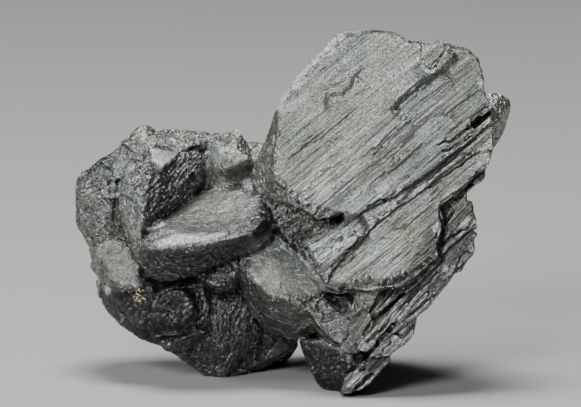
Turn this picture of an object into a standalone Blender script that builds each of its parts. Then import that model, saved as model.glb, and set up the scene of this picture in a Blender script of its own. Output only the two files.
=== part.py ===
"""Andorite crystal cluster: one thick striated tabular crystal grown through a group of stubby ones.

The crystals are laid out on a drawing grid in millimetres: x to the right, y downwards and depth
backwards from the viewer of the tabular crystal's broad face. The finished cluster is then leaned
to the attitude in which it stands on its feet, with +Z up and the viewer on the -Y side.
"""

import math

import bmesh
import bpy
from mathutils import Vector

MM = 0.001
LEAN = math.radians(10.0)  # the layout leans back by this much when the cluster stands
GRID_MID_X = 29.0
GRID_BASE_Y = 39.4

# The broad face is a plane: its depth at a grid point falls to the right and downwards.
FACE_DEPTH = 9.19
FACE_FALL_X = 0.155
FACE_FALL_Y = 0.206
GROUND_BLOCK = 100.0
GROUND = -0.45  # height in the layout at which the feet are cut flat
CLOSE = 0.004  # points nearer than this are merged
CUT_ABOVE = 4.0  # cutters start this far in front of the broad face


# Deeper growth lines of the broad face: start, end, width and how far below the face they reach.
STRIAE = (
    ((39.8, 3.1), (36.9, 6.4), 0.2, 0.3),
    ((42.0, 4.9), (38.4, 8.2), 0.2, 0.35),
    ((29.4, 14.6), (33.0, 11.8), 0.15, 0.3),
    ((28.6, 16.8), (33.4, 13.0), 0.2, 0.35),
    ((30.0, 18.6), (36.4, 13.6), 0.2, 0.4),
    ((32.0, 20.0), (39.4, 14.0), 0.22, 0.45),
    ((37.0, 15.8), (40.0, 13.0), 0.35, 0.5),
    ((35.0, 20.2), (39.4, 16.8), 0.22, 0.5),
    ((38.6, 16.9), (41.2, 14.9), 0.25, 0.5),
    ((38.7, 19.2), (41.0, 17.4), 0.3, 0.7),
    ((44.8, 12.2), (48.0, 9.6), 0.2, 0.35),
    ((43.4, 4.9), (42.4, 6.3), 0.25, 1.0),
    ((44.6, 4.9), (43.2, 6.8), 0.25, 1.0),
    ((43.6, 16.2), (47.4, 13.4), 0.25, 1.2),
    ((42.8, 18.9), (48.0, 15.1), 0.3, 2.0),
    ((44.6, 16.6), (48.9, 13.8), 0.22, 1.4),
    ((37.6, 24.6), (43.6, 19.9), 0.25, 1.75),
    ((36.4, 27.6), (42.6, 22.6), 0.22, 1.75),
    ((44.6, 20.6), (47.2, 18.6), 0.3, 3.4),
    ((41.6, 29.6), (47.0, 24.6), 0.3, 4.0),
    ((40.4, 29.8), (46.2, 24.4), 0.25, 3.9),
    ((42.2, 30.6), (46.4, 26.4), 0.25, 3.9),
    ((37.6, 33.2), (41.4, 29.9), 0.3, 4.2),
    ((38.4, 35.2), (41.0, 32.8), 0.25, 4.5),
    ((37.6, 35.6), (40.2, 33.2), 0.25, 4.5),
    ((37.6, 36.2), (35.0, 38.8), 0.3, 5.0),
)


def face_depth(x, y, sink=0.0):
    """Depth of the tabular crystal's broad face at a grid point, sunk by some millimetres."""
    return FACE_DEPTH - FACE_FALL_X * x - FACE_FALL_Y * y + sink


def stand(x, y, depth):
    """A grid point of the layout, still in millimetres, as it is when the cluster stands."""
    up = GRID_BASE_Y - y
    return Vector((
        x - GRID_MID_X,
        up * math.sin(LEAN) + depth * math.cos(LEAN),
        up * math.cos(LEAN) - depth * math.sin(LEAN),
    ))


def new_object(name, bm):
    """An object of a closed mesh, its faces turned outwards."""
    mesh = bpy.data.meshes.new(name)
    bmesh.ops.recalc_face_normals(bm, faces=bm.faces)
    if bm.calc_volume(signed=True) < 0:
        bmesh.ops.reverse_faces(bm, faces=bm.faces)
    bm.to_mesh(mesh)
    bm.free()
    return bpy.data.objects.new(name, mesh)


def hull(name, corners):
    """A convex crystal through its corner points."""
    bm = bmesh.new()
    points = [bm.verts.new(stand(*c)) for c in corners]
    made = bmesh.ops.convex_hull(bm, input=points)
    spare = [e for e in made["geom_interior"] + made["geom_unused"] if isinstance(e, bmesh.types.BMVert)]
    bmesh.ops.delete(bm, geom=list(set(spare)), context="VERTS")
    bmesh.ops.dissolve_limit(bm, angle_limit=math.radians(0.5), verts=bm.verts, edges=bm.edges)
    return new_object(name, bm)


def loft(name, rings):
    """A solid through rings of grid points, each ring with the same number of corners."""
    bm = bmesh.new()
    loops = [[bm.verts.new(stand(*c)) for c in ring] for ring in rings]
    count = len(loops[0])
    for near, far in zip(loops, loops[1:]):
        for i in range(count):
            j = (i + 1) % count
            bm.faces.new((near[i], near[j], far[j], far[i]))
    bm.faces.new(loops[0][::-1])
    bm.faces.new(loops[-1])
    bmesh.ops.triangulate(bm, faces=[f for f in bm.faces if len(f.verts) == 4])
    return new_object(name, bm)


def slab(name, outline, sink, thickness, shrink=1.0, drift=(0.0, 0.0)):
    """A layer parallel to the broad face: its outline sunk below it, and as thick as given."""
    cx = sum(p[0] for p in outline) / len(outline)
    cy = sum(p[1] for p in outline) / len(outline)
    front = [(x, y, face_depth(x, y, sink)) for x, y in outline]
    back = []
    for x, y in outline:
        bx = cx + (x - cx) * shrink + drift[0]
        by = cy + (y - cy) * shrink + drift[1]
        back.append((bx, by, face_depth(bx, by, sink + thickness)))
    return loft(name, [front, back])


def tabular_crystal():
    # Rim corner of the broad face, then the corner of the girdle behind it.
    edge = [
        (34.3, 3.4, 34.3, 3.2), (35.8, 3.6, 35.8, 3.4), (37.4, 3.1, 37.4, 3.0),
        (39.2, 3.3, 39.2, 3.2), (40.3, 3.8, 40.3, 3.7), (41.0, 4.3, 41.0, 4.2),
        (42.1, 4.3, 42.1, 4.3), (42.7, 4.7, 42.7, 4.6), (44.1, 4.3, 44.1, 4.2),
        (45.7, 4.9, 45.7, 4.8), (46.7, 5.1, 46.7, 5.0), (47.8, 5.9, 47.8, 5.8),
        (48.2, 7.0, 48.2, 7.0), (48.5, 9.4, 48.5, 9.4), (49.1, 10.8, 49.1, 10.8),
        (49.2, 15.0, 49.2, 15.0), (48.8, 16.5, 48.8, 16.5), (46.8, 17.9, 47.0, 18.3),
        (45.0, 19.5, 45.3, 20.0), (43.8, 20.4, 44.2, 20.9), (44.0, 21.6, 44.5, 21.9),
        (43.5, 23.4, 44.2, 23.9), (43.2, 25.2, 44.1, 26.0), (41.0, 26.8, 42.0, 28.2),
        (39.7, 27.8, 40.6, 29.4), (37.6, 27.8, 38.2, 29.6), (35.2, 28.4, 35.4, 29.2),
        (34.0, 28.9, 34.0, 29.6), (33.0, 28.3, 32.2, 29.2), (31.6, 26.4, 30.5, 27.6),
        (30.3, 24.3, 28.8, 25.0), (29.3, 22.3, 27.5, 22.5), (28.8, 20.3, 26.8, 20.5),
        (28.8, 19.0, 26.0, 19.5), (27.5, 17.9, 25.2, 18.0), (27.4, 16.0, 25.5, 16.0),
        (27.6, 14.5, 26.1, 14.5), (27.8, 13.3, 26.8, 13.3), (27.9, 12.0, 27.2, 12.0),
        (27.9, 10.9, 27.6, 10.7), (28.8, 9.5, 28.5, 9.4), (29.9, 7.8, 29.6, 7.7),
        (31.3, 6.3, 31.1, 6.1), (32.7, 5.2, 32.4, 4.9), (33.6, 4.2, 33.5, 3.9),
    ]
    front = [(x, y, face_depth(x, y)) for x, y, _, _ in edge]
    girdle = [(x, y, face_depth(x, y, 3.0)) for _, _, x, y in edge]
    under = [(x, y, face_depth(x, y, 3.8)) for x, y in about_middle(edge, 0.95)]
    yield loft("tabular_front", [front, girdle, under])
    yield slab("tabular_middle", about_middle(edge, 0.965, 0.3, 0.2), 3.2, 3.4, 0.99)
    yield slab("tabular_back", about_middle(edge, 0.975, -0.4, 0.4), 5.9, 4.3, 0.95)


def about_middle(edge, factor, dx=0.0, dy=0.0):
    """The girdle outline shrunk about the middle of the tabular crystal, then shifted."""
    mid_x, mid_y = 38.5, 16.0
    return [(mid_x + (x - mid_x) * factor + dx, mid_y + (y - mid_y) * factor + dy) for _, _, x, y in edge]


def layers():
    yield slab("layer_1", [
        (48.6, 16.9), (48.5, 17.8), (46.7, 19.1), (46.6, 20.1), (47.2, 20.1), (47.3, 21.0), (47.7, 22.8),
        (46.9, 23.0), (43.1, 26.3), (40.4, 28.9), (39.2, 30.0), (37.0, 31.8), (35.2, 31.0), (36.0, 27.0),
        (42.0, 20.0)], 2.9, 6.0, 0.97)
    yield slab("layer_2", [
        (46.9, 22.6), (47.7, 23.4), (47.3, 24.0), (47.5, 24.7), (47.4, 25.3), (46.7, 26.1), (46.1, 27.1),
        (45.4, 27.3), (45.2, 27.8), (44.5, 28.6), (43.7, 29.7), (42.9, 30.7), (41.8, 31.5), (39.5, 33.2),
        (36.6, 35.2), (35.5, 35.0), (36.2, 33.2), (38.0, 30.6), (42.0, 26.0)], 3.5, 6.0, 0.96)
    yield slab("layer_3", [
        (41.8, 31.4), (41.5, 32.5), (41.3, 33.5), (40.5, 34.3), (39.7, 34.9), (38.8, 35.6), (37.8, 35.7),
        (36.7, 35.8), (37.5, 34.8), (39.2, 33.2), (40.0, 32.0)], 4.0, 6.0, 0.95)
    yield slab("layer_4", [
        (39.0, 35.5), (39.0, 36.1), (38.3, 36.8), (37.7, 37.5), (37.0, 38.3), (36.2, 38.9), (34.9, 39.4),
        (34.0, 39.5), (34.4, 37.8), (36.0, 36.0), (37.2, 35.4)], 4.4, 5.0, 0.95)


def lowered(name, outline, sink, drift=(0.25, 0.3)):
    """A region of the broad face cut down to a lower growth level."""
    return slab(name, outline, -CUT_ABOVE, CUT_ABOVE + sink, 1.0, drift)


def dip(name, floor):
    """A hollow in the broad face: floor points as x, y and how far they lie below the face."""
    corners = [(x, y, face_depth(x, y, sink)) for x, y, sink in floor]
    corners += [(x, y, face_depth(x, y, -CUT_ABOVE)) for x, y, _ in floor]
    return hull(name, corners)


def crack(name, start, end, width, sink):
    """A V-shaped crack from start to end, as wide as given at the face and as deep as the sink."""
    along = Vector((end[0] - start[0], end[1] - start[1])).normalized()
    side = Vector((-along.y, along.x)) * width / 2
    corners = []
    for x, y in (start, end):
        for lip in (0.3, -CUT_ABOVE):
            corners += [(x + side.x, y + side.y, face_depth(x, y, lip))]
            corners += [(x - side.x, y - side.y, face_depth(x, y, lip))]
        corners += [(x, y, face_depth(x, y, sink))]
    return hull(name, corners)


def growth_steps():
    yield dip("step_upper_left", [
        (32.2, 9.1, 0.2), (32.7, 9.6, 0.35), (33.4, 9.5, 0.35), (34.2, 9.5, 0.4), (35.3, 8.3, 0.45),
        (35.6, 7.5, 0.3), (37.2, 8.6, 0.05), (36.2, 10.4, 0.05), (34.0, 11.2, 0.05)])
    yield dip("step_top_right", [
        (39.2, 10.9, 0.1), (41.8, 8.3, 0.1), (43.6, 7.3, 0.1), (39.7, 11.6, 0.7), (42.0, 9.4, 0.8),
        (43.8, 7.8, 0.75), (46.6, 8.2, 0.1), (45.0, 10.6, 0.1), (43.0, 12.4, 0.1), (40.9, 12.5, 0.2)])
    yield dip("notch_top", [
        (42.2, 3.6, 0.9), (43.1, 3.7, 1.0), (44.0, 3.8, 0.7), (44.6, 4.6, 0.5), (43.6, 6.9, 0.8),
        (43.0, 7.0, 0.7), (42.1, 5.8, 0.4)])
    yield lowered("step_middle", [
        (34.3, 22.4), (36.0, 21.0), (38.5, 19.7), (40.0, 19.1), (43.0, 16.9), (45.5, 14.9), (47.5, 13.2),
        (50.5, 10.8), (55.0, 20.0), (50.0, 32.0), (28.0, 32.0), (30.0, 24.6)], 0.75, (0.2, 0.25))
    yield lowered("step_lower", [
        (32.0, 29.0), (32.7, 27.2), (34.4, 25.5), (36.0, 23.8), (36.7, 22.7), (38.0, 21.6), (39.3, 20.6),
        (40.5, 19.9), (43.0, 18.0), (46.0, 15.9), (47.8, 14.9), (50.5, 14.2), (55.0, 20.0), (50.0, 32.0),
        (32.0, 32.0)], 1.3, (0.25, 0.3))
    yield dip("broken_left", [
        (26.0, 19.6, 3.0), (28.9, 20.6, 1.3), (30.2, 20.7, 1.2), (31.0, 21.6, 1.6), (32.2, 22.2, 1.8),
        (31.6, 23.6, 2.6), (30.4, 24.6, 2.6), (29.4, 25.4, 2.8), (26.0, 23.6, 4.6)])
    yield dip("trough", [
        (30.2, 22.4, 2.2), (32.0, 22.1, 2.0), (33.6, 21.4, 2.2), (34.3, 21.3, 2.4), (34.6, 22.0, 2.6),
        (33.9, 22.7, 2.4), (32.2, 23.4, 2.2), (30.8, 24.0, 2.2), (30.0, 23.6, 2.4)])
    yield dip("hole", [
        (33.6, 21.5, 5.0), (34.2, 21.4, 5.0), (34.6, 21.9, 5.0), (34.1, 22.4, 5.0), (33.5, 22.3, 5.0)])
    yield crack("crack_wide", (49.7, 10.6), (47.3, 12.7), 0.5, 2.2)
    yield crack("crack_upper", (48.0, 11.7), (44.5, 14.7), 0.24, 1.6)
    yield crack("crack_lower", (47.6, 12.6), (44.3, 15.1), 0.2, 1.4)
    yield crack("ridge_groove", (47.6, 15.2), (42.9, 18.9), 0.28, 2.0)
    yield crack("ridge_groove_2", (46.2, 14.8), (38.8, 20.2), 0.26, 1.7)
    yield crack("block_groove", (36.3, 23.6), (33.0, 27.6), 0.4, 2.4)
    yield crack("slot_inner", (42.4, 28.0), (36.3, 33.6), 0.42, 5.4)
    yield crack("slot_outer", (40.0, 31.8), (36.4, 35.8), 0.55, 6.0)
    yield crack("slot_side", (47.2, 22.0), (43.6, 25.0), 0.35, 4.4)
    yield crack("slot_foot", (38.8, 36.0), (35.0, 39.6), 0.4, 6.0)
    for i, (start, end, width, sink) in enumerate(STRIAE):
        yield crack(f"stria_{i}", start, end, width, sink)


def face_blocks():
    yield standing_block("block_small", [
        (33.1, 24.1), (33.6, 23.6), (34.0, 24.4), (33.9, 25.2), (33.4, 25.1)], 0.4)
    yield standing_block("block_large", [
        (34.0, 24.4), (35.0, 23.5), (35.4, 23.3), (35.8, 23.8), (35.2, 24.6), (34.6, 24.9)], 0.3)
    yield standing_block("block_step", [
        (31.2, 25.3), (32.4, 24.2), (33.0, 24.4), (33.0, 25.6), (31.9, 26.6)], 0.5)


def standing_block(name, outline, sink):
    """A small block left standing on a lower growth level, its top sunk by the given amount."""
    return slab(name, outline, sink, 2.5, 1.06)


def right_crystal():
    return hull("right_crystal", [
        (48.2, 9.5, 3.5), (49.5, 9.2, 4.0), (50.4, 9.4, 4.2), (51.1, 9.9, 4.5), (51.2, 10.6, 4.4),
        (51.0, 11.0, 3.8), (50.7, 12.5, 3.8), (49.8, 14.4, 3.6), (49.0, 15.2, 3.2), (48.9, 11.0, 2.2),
        (49.2, 12.5, 2.0), (48.8, 10.0, 7.5), (50.8, 10.6, 7.5), (50.4, 13.0, 7.0), (48.5, 14.5, 7.0),
    ])


def upper_left():
    yield hull("left_wall", [
        (7.6, 17.3, 11.0), (10.0, 15.8, 11.0), (11.2, 15.2, 10.2), (11.4, 17.6, 8.8), (11.4, 18.6, 8.2),
        (7.9, 19.2, 8.8), (11.2, 20.0, 7.9), (10.8, 23.4, 7.9), (10.4, 24.3, 8.2), (8.8, 23.0, 9.0),
        (7.9, 21.0, 9.4), (7.3, 19.0, 10.8), (7.3, 21.8, 12.0), (8.2, 24.4, 12.5), (12.6, 24.2, 10.0),
        (9.2, 25.2, 11.0), (8.5, 17.5, 16.0), (11.5, 16.0, 16.0), (11.5, 24.0, 16.0), (9.0, 24.0, 16.0),
    ])
    yield hull("shoulder", [
        (10.8, 15.3, 10.6), (12.8, 14.2, 10.2), (12.9, 13.7, 10.8), (14.0, 14.8, 9.0), (14.2, 16.6, 7.8),
        (12.6, 18.2, 7.9), (11.3, 17.6, 8.6), (11.0, 16.6, 9.3), (11.5, 19.0, 9.5), (14.5, 19.0, 9.5),
        (11.0, 15.8, 15.0), (14.5, 14.8, 15.0),
    ])
    yield hull("top_knob", [
        (12.7, 14.0, 11.2), (13.1, 13.4, 10.8), (13.7, 12.9, 11.0), (14.3, 12.6, 11.4), (15.0, 12.9, 11.8),
        (15.4, 13.8, 10.2), (14.9, 14.8, 8.6), (13.9, 14.9, 8.8), (13.0, 14.7, 9.6), (13.0, 14.0, 15.0),
        (15.4, 13.0, 15.0), (15.0, 15.5, 14.0),
    ])
    yield hull("ridge_crystal", [
        (14.9, 12.9, 12.6), (16.6, 12.6, 13.2), (18.0, 12.9, 13.4), (20.8, 13.2, 13.8), (20.5, 13.8, 12.4),
        (14.8, 14.5, 8.8), (18.2, 15.0, 9.6), (14.9, 16.6, 6.9), (14.0, 16.9, 7.2), (11.9, 18.0, 8.0),
        (11.5, 20.0, 7.9), (12.3, 22.4, 7.0), (13.0, 24.5, 6.4),
        (14.6, 18.8, 5.6), (14.4, 21.4, 4.9), (14.0, 23.6, 4.7), (13.8, 25.5, 4.9), (13.9, 27.0, 5.4),
        (19.6, 14.7, 11.2), (20.1, 16.5, 11.6), (19.4, 19.6, 10.8), (17.0, 22.0, 9.4), (15.6, 24.0, 6.8),
        (13.0, 15.0, 16.0), (20.8, 13.8, 17.0), (20.5, 20.0, 16.0), (13.0, 24.0, 14.0), (15.0, 27.0, 10.0),
    ])
    yield hull("rough_block", [
        (14.9, 16.6, 7.4), (16.3, 16.6, 7.9), (17.6, 15.9, 8.5), (19.2, 15.0, 9.1), (20.1, 15.2, 9.6),
        (20.4, 16.8, 9.4), (20.3, 18.2, 9.3), (19.3, 19.4, 9.1), (18.4, 20.4, 8.8), (17.4, 21.2, 8.5),
        (16.4, 21.9, 8.1), (15.3, 22.5, 7.2), (14.6, 18.4, 5.9), (14.5, 20.2, 5.3), (14.4, 21.8, 5.1),
        (17.4, 18.2, 7.6), (15.0, 16.4, 15.2), (20.0, 15.6, 15.2), (20.1, 18.9, 15.2), (15.6, 22.2, 13.6),
    ])
    yield hull("top_facet", [
        (14.8, 14.7, 8.2), (16.4, 14.9, 8.4), (18.1, 15.2, 8.9), (17.4, 15.9, 7.6), (16.1, 16.8, 6.4),
        (15.5, 16.4, 6.4), (15.0, 16.1, 6.7), (15.4, 17.6, 7.6), (17.0, 16.6, 8.4), (15.0, 14.9, 10.4),
        (17.9, 15.6, 10.4), (15.6, 16.9, 10.1),
    ])
    yield hull("valley_left", [
        (10.9, 18.6, 8.7), (12.3, 18.7, 7.9), (10.5, 21.2, 8.5), (12.2, 21.0, 7.7), (10.5, 24.1, 8.6),
        (12.9, 24.4, 7.5), (11.3, 23.0, 8.0), (11.0, 18.7, 13.2), (12.6, 18.9, 13.2), (10.8, 24.3, 13.1),
        (12.8, 24.5, 13.1),
    ])
    yield hull("barrel", [
        (20.4, 13.7, 11.8), (21.6, 13.3, 11.6), (23.0, 13.2, 11.8), (24.3, 13.9, 11.6), (25.0, 14.9, 11.0),
        (20.5, 15.2, 10.7), (21.8, 15.4, 9.6), (23.2, 15.3, 9.8), (20.3, 18.0, 10.7), (20.9, 19.4, 10.0),
        (22.3, 19.2, 9.2), (24.6, 17.5, 10.0), (20.5, 14.0, 17.0), (25.0, 14.5, 17.0), (25.0, 19.0, 15.0),
        (21.0, 19.8, 15.0),
    ])
    yield hull("barrel_bump", [
        (21.9, 16.0, 9.2), (22.3, 16.9, 8.5), (23.6, 16.4, 8.2), (24.9, 15.8, 8.6), (25.3, 16.6, 9.2),
        (25.0, 17.8, 9.9), (23.9, 18.6, 10.0), (22.8, 18.5, 9.7), (22.1, 17.6, 9.1), (22.4, 15.2, 9.7),
        (24.6, 14.9, 10.0), (22.2, 15.2, 12.6), (25.3, 15.4, 12.6), (24.9, 18.9, 12.6), (22.6, 19.0, 12.6),
    ])
    yield hull("barrel_top", [
        (22.9, 13.4, 11.2), (23.2, 12.9, 11.6), (23.6, 12.8, 11.8), (24.1, 13.5, 11.6), (24.4, 14.1, 11.0),
        (23.8, 14.7, 9.9), (23.0, 14.5, 9.9), (23.0, 13.4, 14.0), (24.4, 14.0, 14.0), (24.0, 15.2, 12.0),
    ])
    yield hull("neck", [
        (24.4, 14.1, 12.0), (26.0, 14.5, 11.4), (25.3, 16.2, 10.3), (25.0, 18.4, 9.6), (26.4, 20.0, 7.8),
        (27.2, 19.0, 7.6), (24.0, 14.6, 18.0), (28.0, 14.6, 17.0), (28.0, 20.0, 16.0), (25.0, 20.6, 13.0),
        (28.0, 14.4, 11.0),
    ])
    yield hull("front_block", [
        (14.2, 24.2, 2.9), (15.0, 24.9, 1.9), (15.9, 25.0, 1.5), (18.0, 24.5, 1.3), (20.4, 24.6, 1.2),
        (22.4, 24.0, 1.3), (25.0, 23.4, 2.0), (26.3, 22.0, 3.6), (27.0, 21.5, 4.6), (14.9, 23.3, 3.4),
        (16.4, 22.9, 3.3), (16.2, 22.2, 7.2), (18.0, 21.1, 8.6), (19.4, 19.9, 9.3), (20.7, 18.9, 9.6),
        (23.5, 18.6, 9.6),
        (24.8, 18.2, 9.6), (25.4, 18.8, 8.8), (25.9, 20.0, 7.0), (13.9, 25.2, 3.9), (14.0, 26.6, 4.4),
        (14.6, 27.8, 5.0), (16.0, 28.2, 4.8), (17.2, 28.3, 4.8), (18.6, 27.9, 4.8), (20.0, 27.1, 4.4),
        (21.5, 26.7, 4.2), (23.2, 25.5, 3.8), (24.3, 25.1, 3.8), (26.0, 24.5, 4.0), (26.9, 23.9, 4.6),
        (27.4, 22.6, 5.0), (15.0, 21.5, 12.0), (26.0, 19.0, 13.0), (26.5, 25.0, 12.0), (15.0, 28.0, 12.0),
    ])


def lower_left():
    yield hull("smooth_step", [
        (9.2, 24.6, 7.2), (10.2, 24.2, 7.5), (11.2, 23.8, 7.8), (12.2, 24.0, 7.6), (12.9, 24.8, 7.2),
        (13.4, 26.2, 6.4), (14.1, 27.6, 5.6), (14.5, 28.4, 5.2), (13.9, 29.1, 5.0), (12.6, 29.2, 5.0),
        (11.6, 28.7, 5.4), (10.9, 27.8, 5.8), (9.9, 26.2, 6.6), (8.7, 24.8, 9.5), (9.0, 26.2, 9.8),
        (10.0, 28.4, 9.2), (11.2, 29.6, 8.5), (9.0, 25.0, 15.0), (14.5, 24.0, 15.0), (14.6, 29.4, 14.0),
        (11.0, 29.4, 14.0),
    ])
    yield hull("rim_bump", [
        (8.9, 25.8, 11.2), (8.7, 26.8, 11.4), (9.2, 27.6, 10.8), (10.0, 27.8, 10.2), (10.4, 26.8, 9.4),
        (10.0, 25.8, 9.8), (9.4, 25.4, 10.6), (9.4, 25.8, 14.0), (9.6, 27.8, 14.0), (11.0, 27.0, 13.0),
    ])
    yield hull("lower_left_mass", [
        (9.4, 27.0, 11.5), (9.7, 28.4, 11.0), (9.6, 29.4, 11.2), (9.9, 30.4, 11.0), (10.5, 31.3, 10.6),
        (11.3, 31.9, 10.2), (11.8, 32.7, 10.2), (12.8, 33.4, 9.8), (14.2, 34.2, 9.4), (16.0, 34.8, 9.6),
        (10.8, 28.8, 7.4), (12.2, 29.0, 6.6), (14.2, 28.9, 5.7), (15.3, 28.6, 5.6),
        (15.3, 30.2, 5.5), (15.2, 31.6, 5.6),
        (14.0, 32.4, 6.2), (12.4, 31.4, 7.4), (9.5, 26.0, 16.0), (16.0, 26.0, 16.0), (16.0, 34.0, 14.0),
        (11.0, 31.0, 15.0),
    ])
    yield hull("knob", [
        (15.0, 30.6, 5.0), (15.4, 29.6, 4.8), (16.2, 28.9, 4.8), (17.2, 28.6, 4.8), (18.3, 28.9, 4.6),
        (19.1, 29.7, 4.5), (19.5, 30.7, 4.4), (19.2, 31.6, 4.6), (18.2, 32.4, 4.8), (16.8, 32.7, 5.0),
        (15.6, 32.3, 5.2), (15.0, 31.6, 5.2), (16.4, 29.7, 4.6), (18.2, 30.2, 4.3), (17.0, 31.6, 4.65),
        (15.2, 33.0, 8.0), (19.0, 33.0, 8.0), (15.0, 29.0, 9.0), (19.4, 29.0, 9.0), (20.2, 31.0, 9.0),
    ])
    yield hull("belly", [
        (14.6, 32.4, 6.0), (17.0, 32.9, 5.5), (20.2, 28.8, 5.9), (20.8, 31.0, 5.9), (20.4, 32.6, 6.3),
        (19.4, 33.3, 6.3), (15.0, 34.0, 7.8), (17.6, 34.4, 8.2), (16.4, 35.1, 10.0), (18.2, 35.9, 11.0),
        (15.0, 28.0, 7.0), (20.0, 27.5, 7.5), (15.0, 28.0, 15.0), (22.0, 28.0, 15.0), (20.0, 35.0, 14.0),
        (15.0, 33.0, 14.0),
    ])
    yield hull("blade_upper", [
        (14.7, 33.9, 6.4), (16.0, 33.4, 5.9), (17.8, 33.1, 5.9), (19.3, 32.9, 6.3), (17.6, 33.6, 5.4),
        (15.4, 34.2, 8.6), (19.0, 33.8, 8.6), (16.0, 32.8, 8.6), (19.5, 32.6, 8.6),
    ])
    yield hull("blade_lower", [
        (15.6, 34.2, 6.9), (17.5, 33.9, 6.2), (19.0, 33.5, 6.5), (18.0, 34.2, 6.1), (16.7, 34.7, 6.6),
        (16.0, 34.7, 10.0), (19.0, 34.4, 10.0), (17.0, 33.5, 10.0),
    ])
    yield hull("column", [
        (20.8, 28.2, 8.4), (23.8, 28.4, 8.2), (24.4, 30.0, 8.2), (25.2, 31.5, 8.6), (25.9, 33.0, 9.2),
        (25.8, 34.2, 9.8), (24.2, 34.8, 9.8), (24.0, 35.7, 9.8), (23.2, 36.6, 10.2), (22.6, 37.5, 10.8),
        (22.2, 38.3, 11.2), (20.6, 37.9, 11.4), (19.0, 36.8, 11.6), (17.6, 35.8, 11.8), (21.4, 33.0, 7.2),
        (22.2, 35.0, 7.8), (22.6, 36.4, 8.8), (20.6, 31.0, 7.8), (19.0, 30.0, 15.0), (25.0, 30.0, 15.0),
        (22.5, 38.2, 13.2), (20.4, 37.9, 13.6),
    ])
    yield hull("wedge", [
        (19.1, 27.5, 5.2), (20.5, 27.0, 5.4), (21.7, 26.7, 5.2), (22.8, 25.7, 5.4), (23.6, 25.6, 5.2),
        (23.9, 26.9, 4.0), (23.0, 28.0, 3.4), (21.6, 28.4, 3.4), (20.5, 28.1, 4.0), (20.1, 28.7, 9.1),
        (23.7, 28.7, 9.3), (23.6, 26.2, 11.2), (21.6, 29.4, 6.0), (23.4, 28.9, 5.6),
    ])


def centre_group():
    yield hull("centre_crystal", [
        (24.0, 25.8, 5.0), (25.0, 25.0, 5.4), (26.2, 24.3, 5.8), (27.0, 23.7, 6.1), (27.4, 23.3, 6.3),
        (29.0, 24.8, 5.5), (31.8, 28.5, 3.5), (32.0, 29.1, 3.2), (30.9, 29.9, 2.7), (29.9, 30.4, 2.4),
        (29.1, 30.1, 2.5), (28.4, 29.7, 2.6), (27.2, 29.6, 2.8), (26.2, 28.8, 3.2), (25.4, 28.0, 3.6),
        (24.5, 27.2, 4.2), (24.0, 26.8, 4.5), (24.0, 28.8, 6.6), (24.5, 30.0, 6.6), (25.2, 31.5, 6.9),
        (26.2, 32.8, 7.0), (27.5, 33.5, 7.0), (29.0, 34.0, 6.6), (30.0, 34.1, 6.0), (31.5, 33.3, 4.6),
        (32.0, 32.0, 3.6), (26.5, 31.0, 4.6), (29.0, 32.2, 4.0), (24.0, 25.0, 14.0), (31.0, 25.0, 14.0),
        (31.0, 33.0, 13.0), (26.0, 32.0, 13.0),
    ])
    yield hull("centre_side", [
        (27.2, 22.0, 6.2), (28.2, 22.6, 5.6), (30.0, 25.2, 3.8), (32.4, 28.1, 2.1), (33.8, 29.4, 1.8),
        (32.0, 29.4, 3.0), (29.2, 25.6, 5.6), (27.6, 23.6, 6.6), (27.0, 22.0, 12.0), (34.0, 28.0, 10.0),
        (30.0, 30.0, 10.0),
    ])
    yield hull("lower_centre", [
        (30.1, 30.3, 3.0), (31.4, 29.7, 3.0), (33.0, 30.0, 3.0), (34.6, 30.6, 2.6), (35.0, 31.8, 1.6),
        (34.8, 33.2, 1.2), (34.0, 34.4, 1.2), (33.0, 33.9, 1.9), (32.0, 32.9, 2.6), (31.2, 31.7, 2.9),
        (31.0, 34.2, 9.0), (36.0, 34.6, 9.0), (36.0, 30.0, 9.0), (31.0, 30.0, 9.0),
    ])
    yield hull("end_facets", [
        (34.4, 29.6, 2.6), (35.0, 30.4, 0.9), (35.6, 30.8, 0.2), (37.0, 31.4, -0.3), (37.3, 32.2, -0.3),
        (36.6, 33.4, 0.2), (36.2, 34.6, 0.5), (35.6, 35.5, 0.9), (34.6, 35.3, 1.3), (33.8, 34.6, 1.5),
        (34.4, 33.0, 1.4), (34.1, 35.3, 8.3), (38.1, 34.5, 8.4), (38.2, 30.3, 8.2), (34.7, 29.8, 8.1),
    ])
    yield hull("stub_under_face", [
        (34.8, 28.2, 2.0), (35.2, 28.0, 0.4), (36.3, 27.8, -0.3), (37.6, 27.8, -1.0), (37.8, 29.2, -1.0),
        (37.3, 30.3, -0.8), (36.8, 31.2, -0.6), (36.0, 30.8, -0.1), (35.4, 29.6, 0.6), (35.0, 29.2, 3.0),
        (38.0, 28.0, 6.0), (36.0, 31.0, 6.0), (35.0, 28.4, 6.0), (38.4, 30.0, 6.0),
    ])


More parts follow.
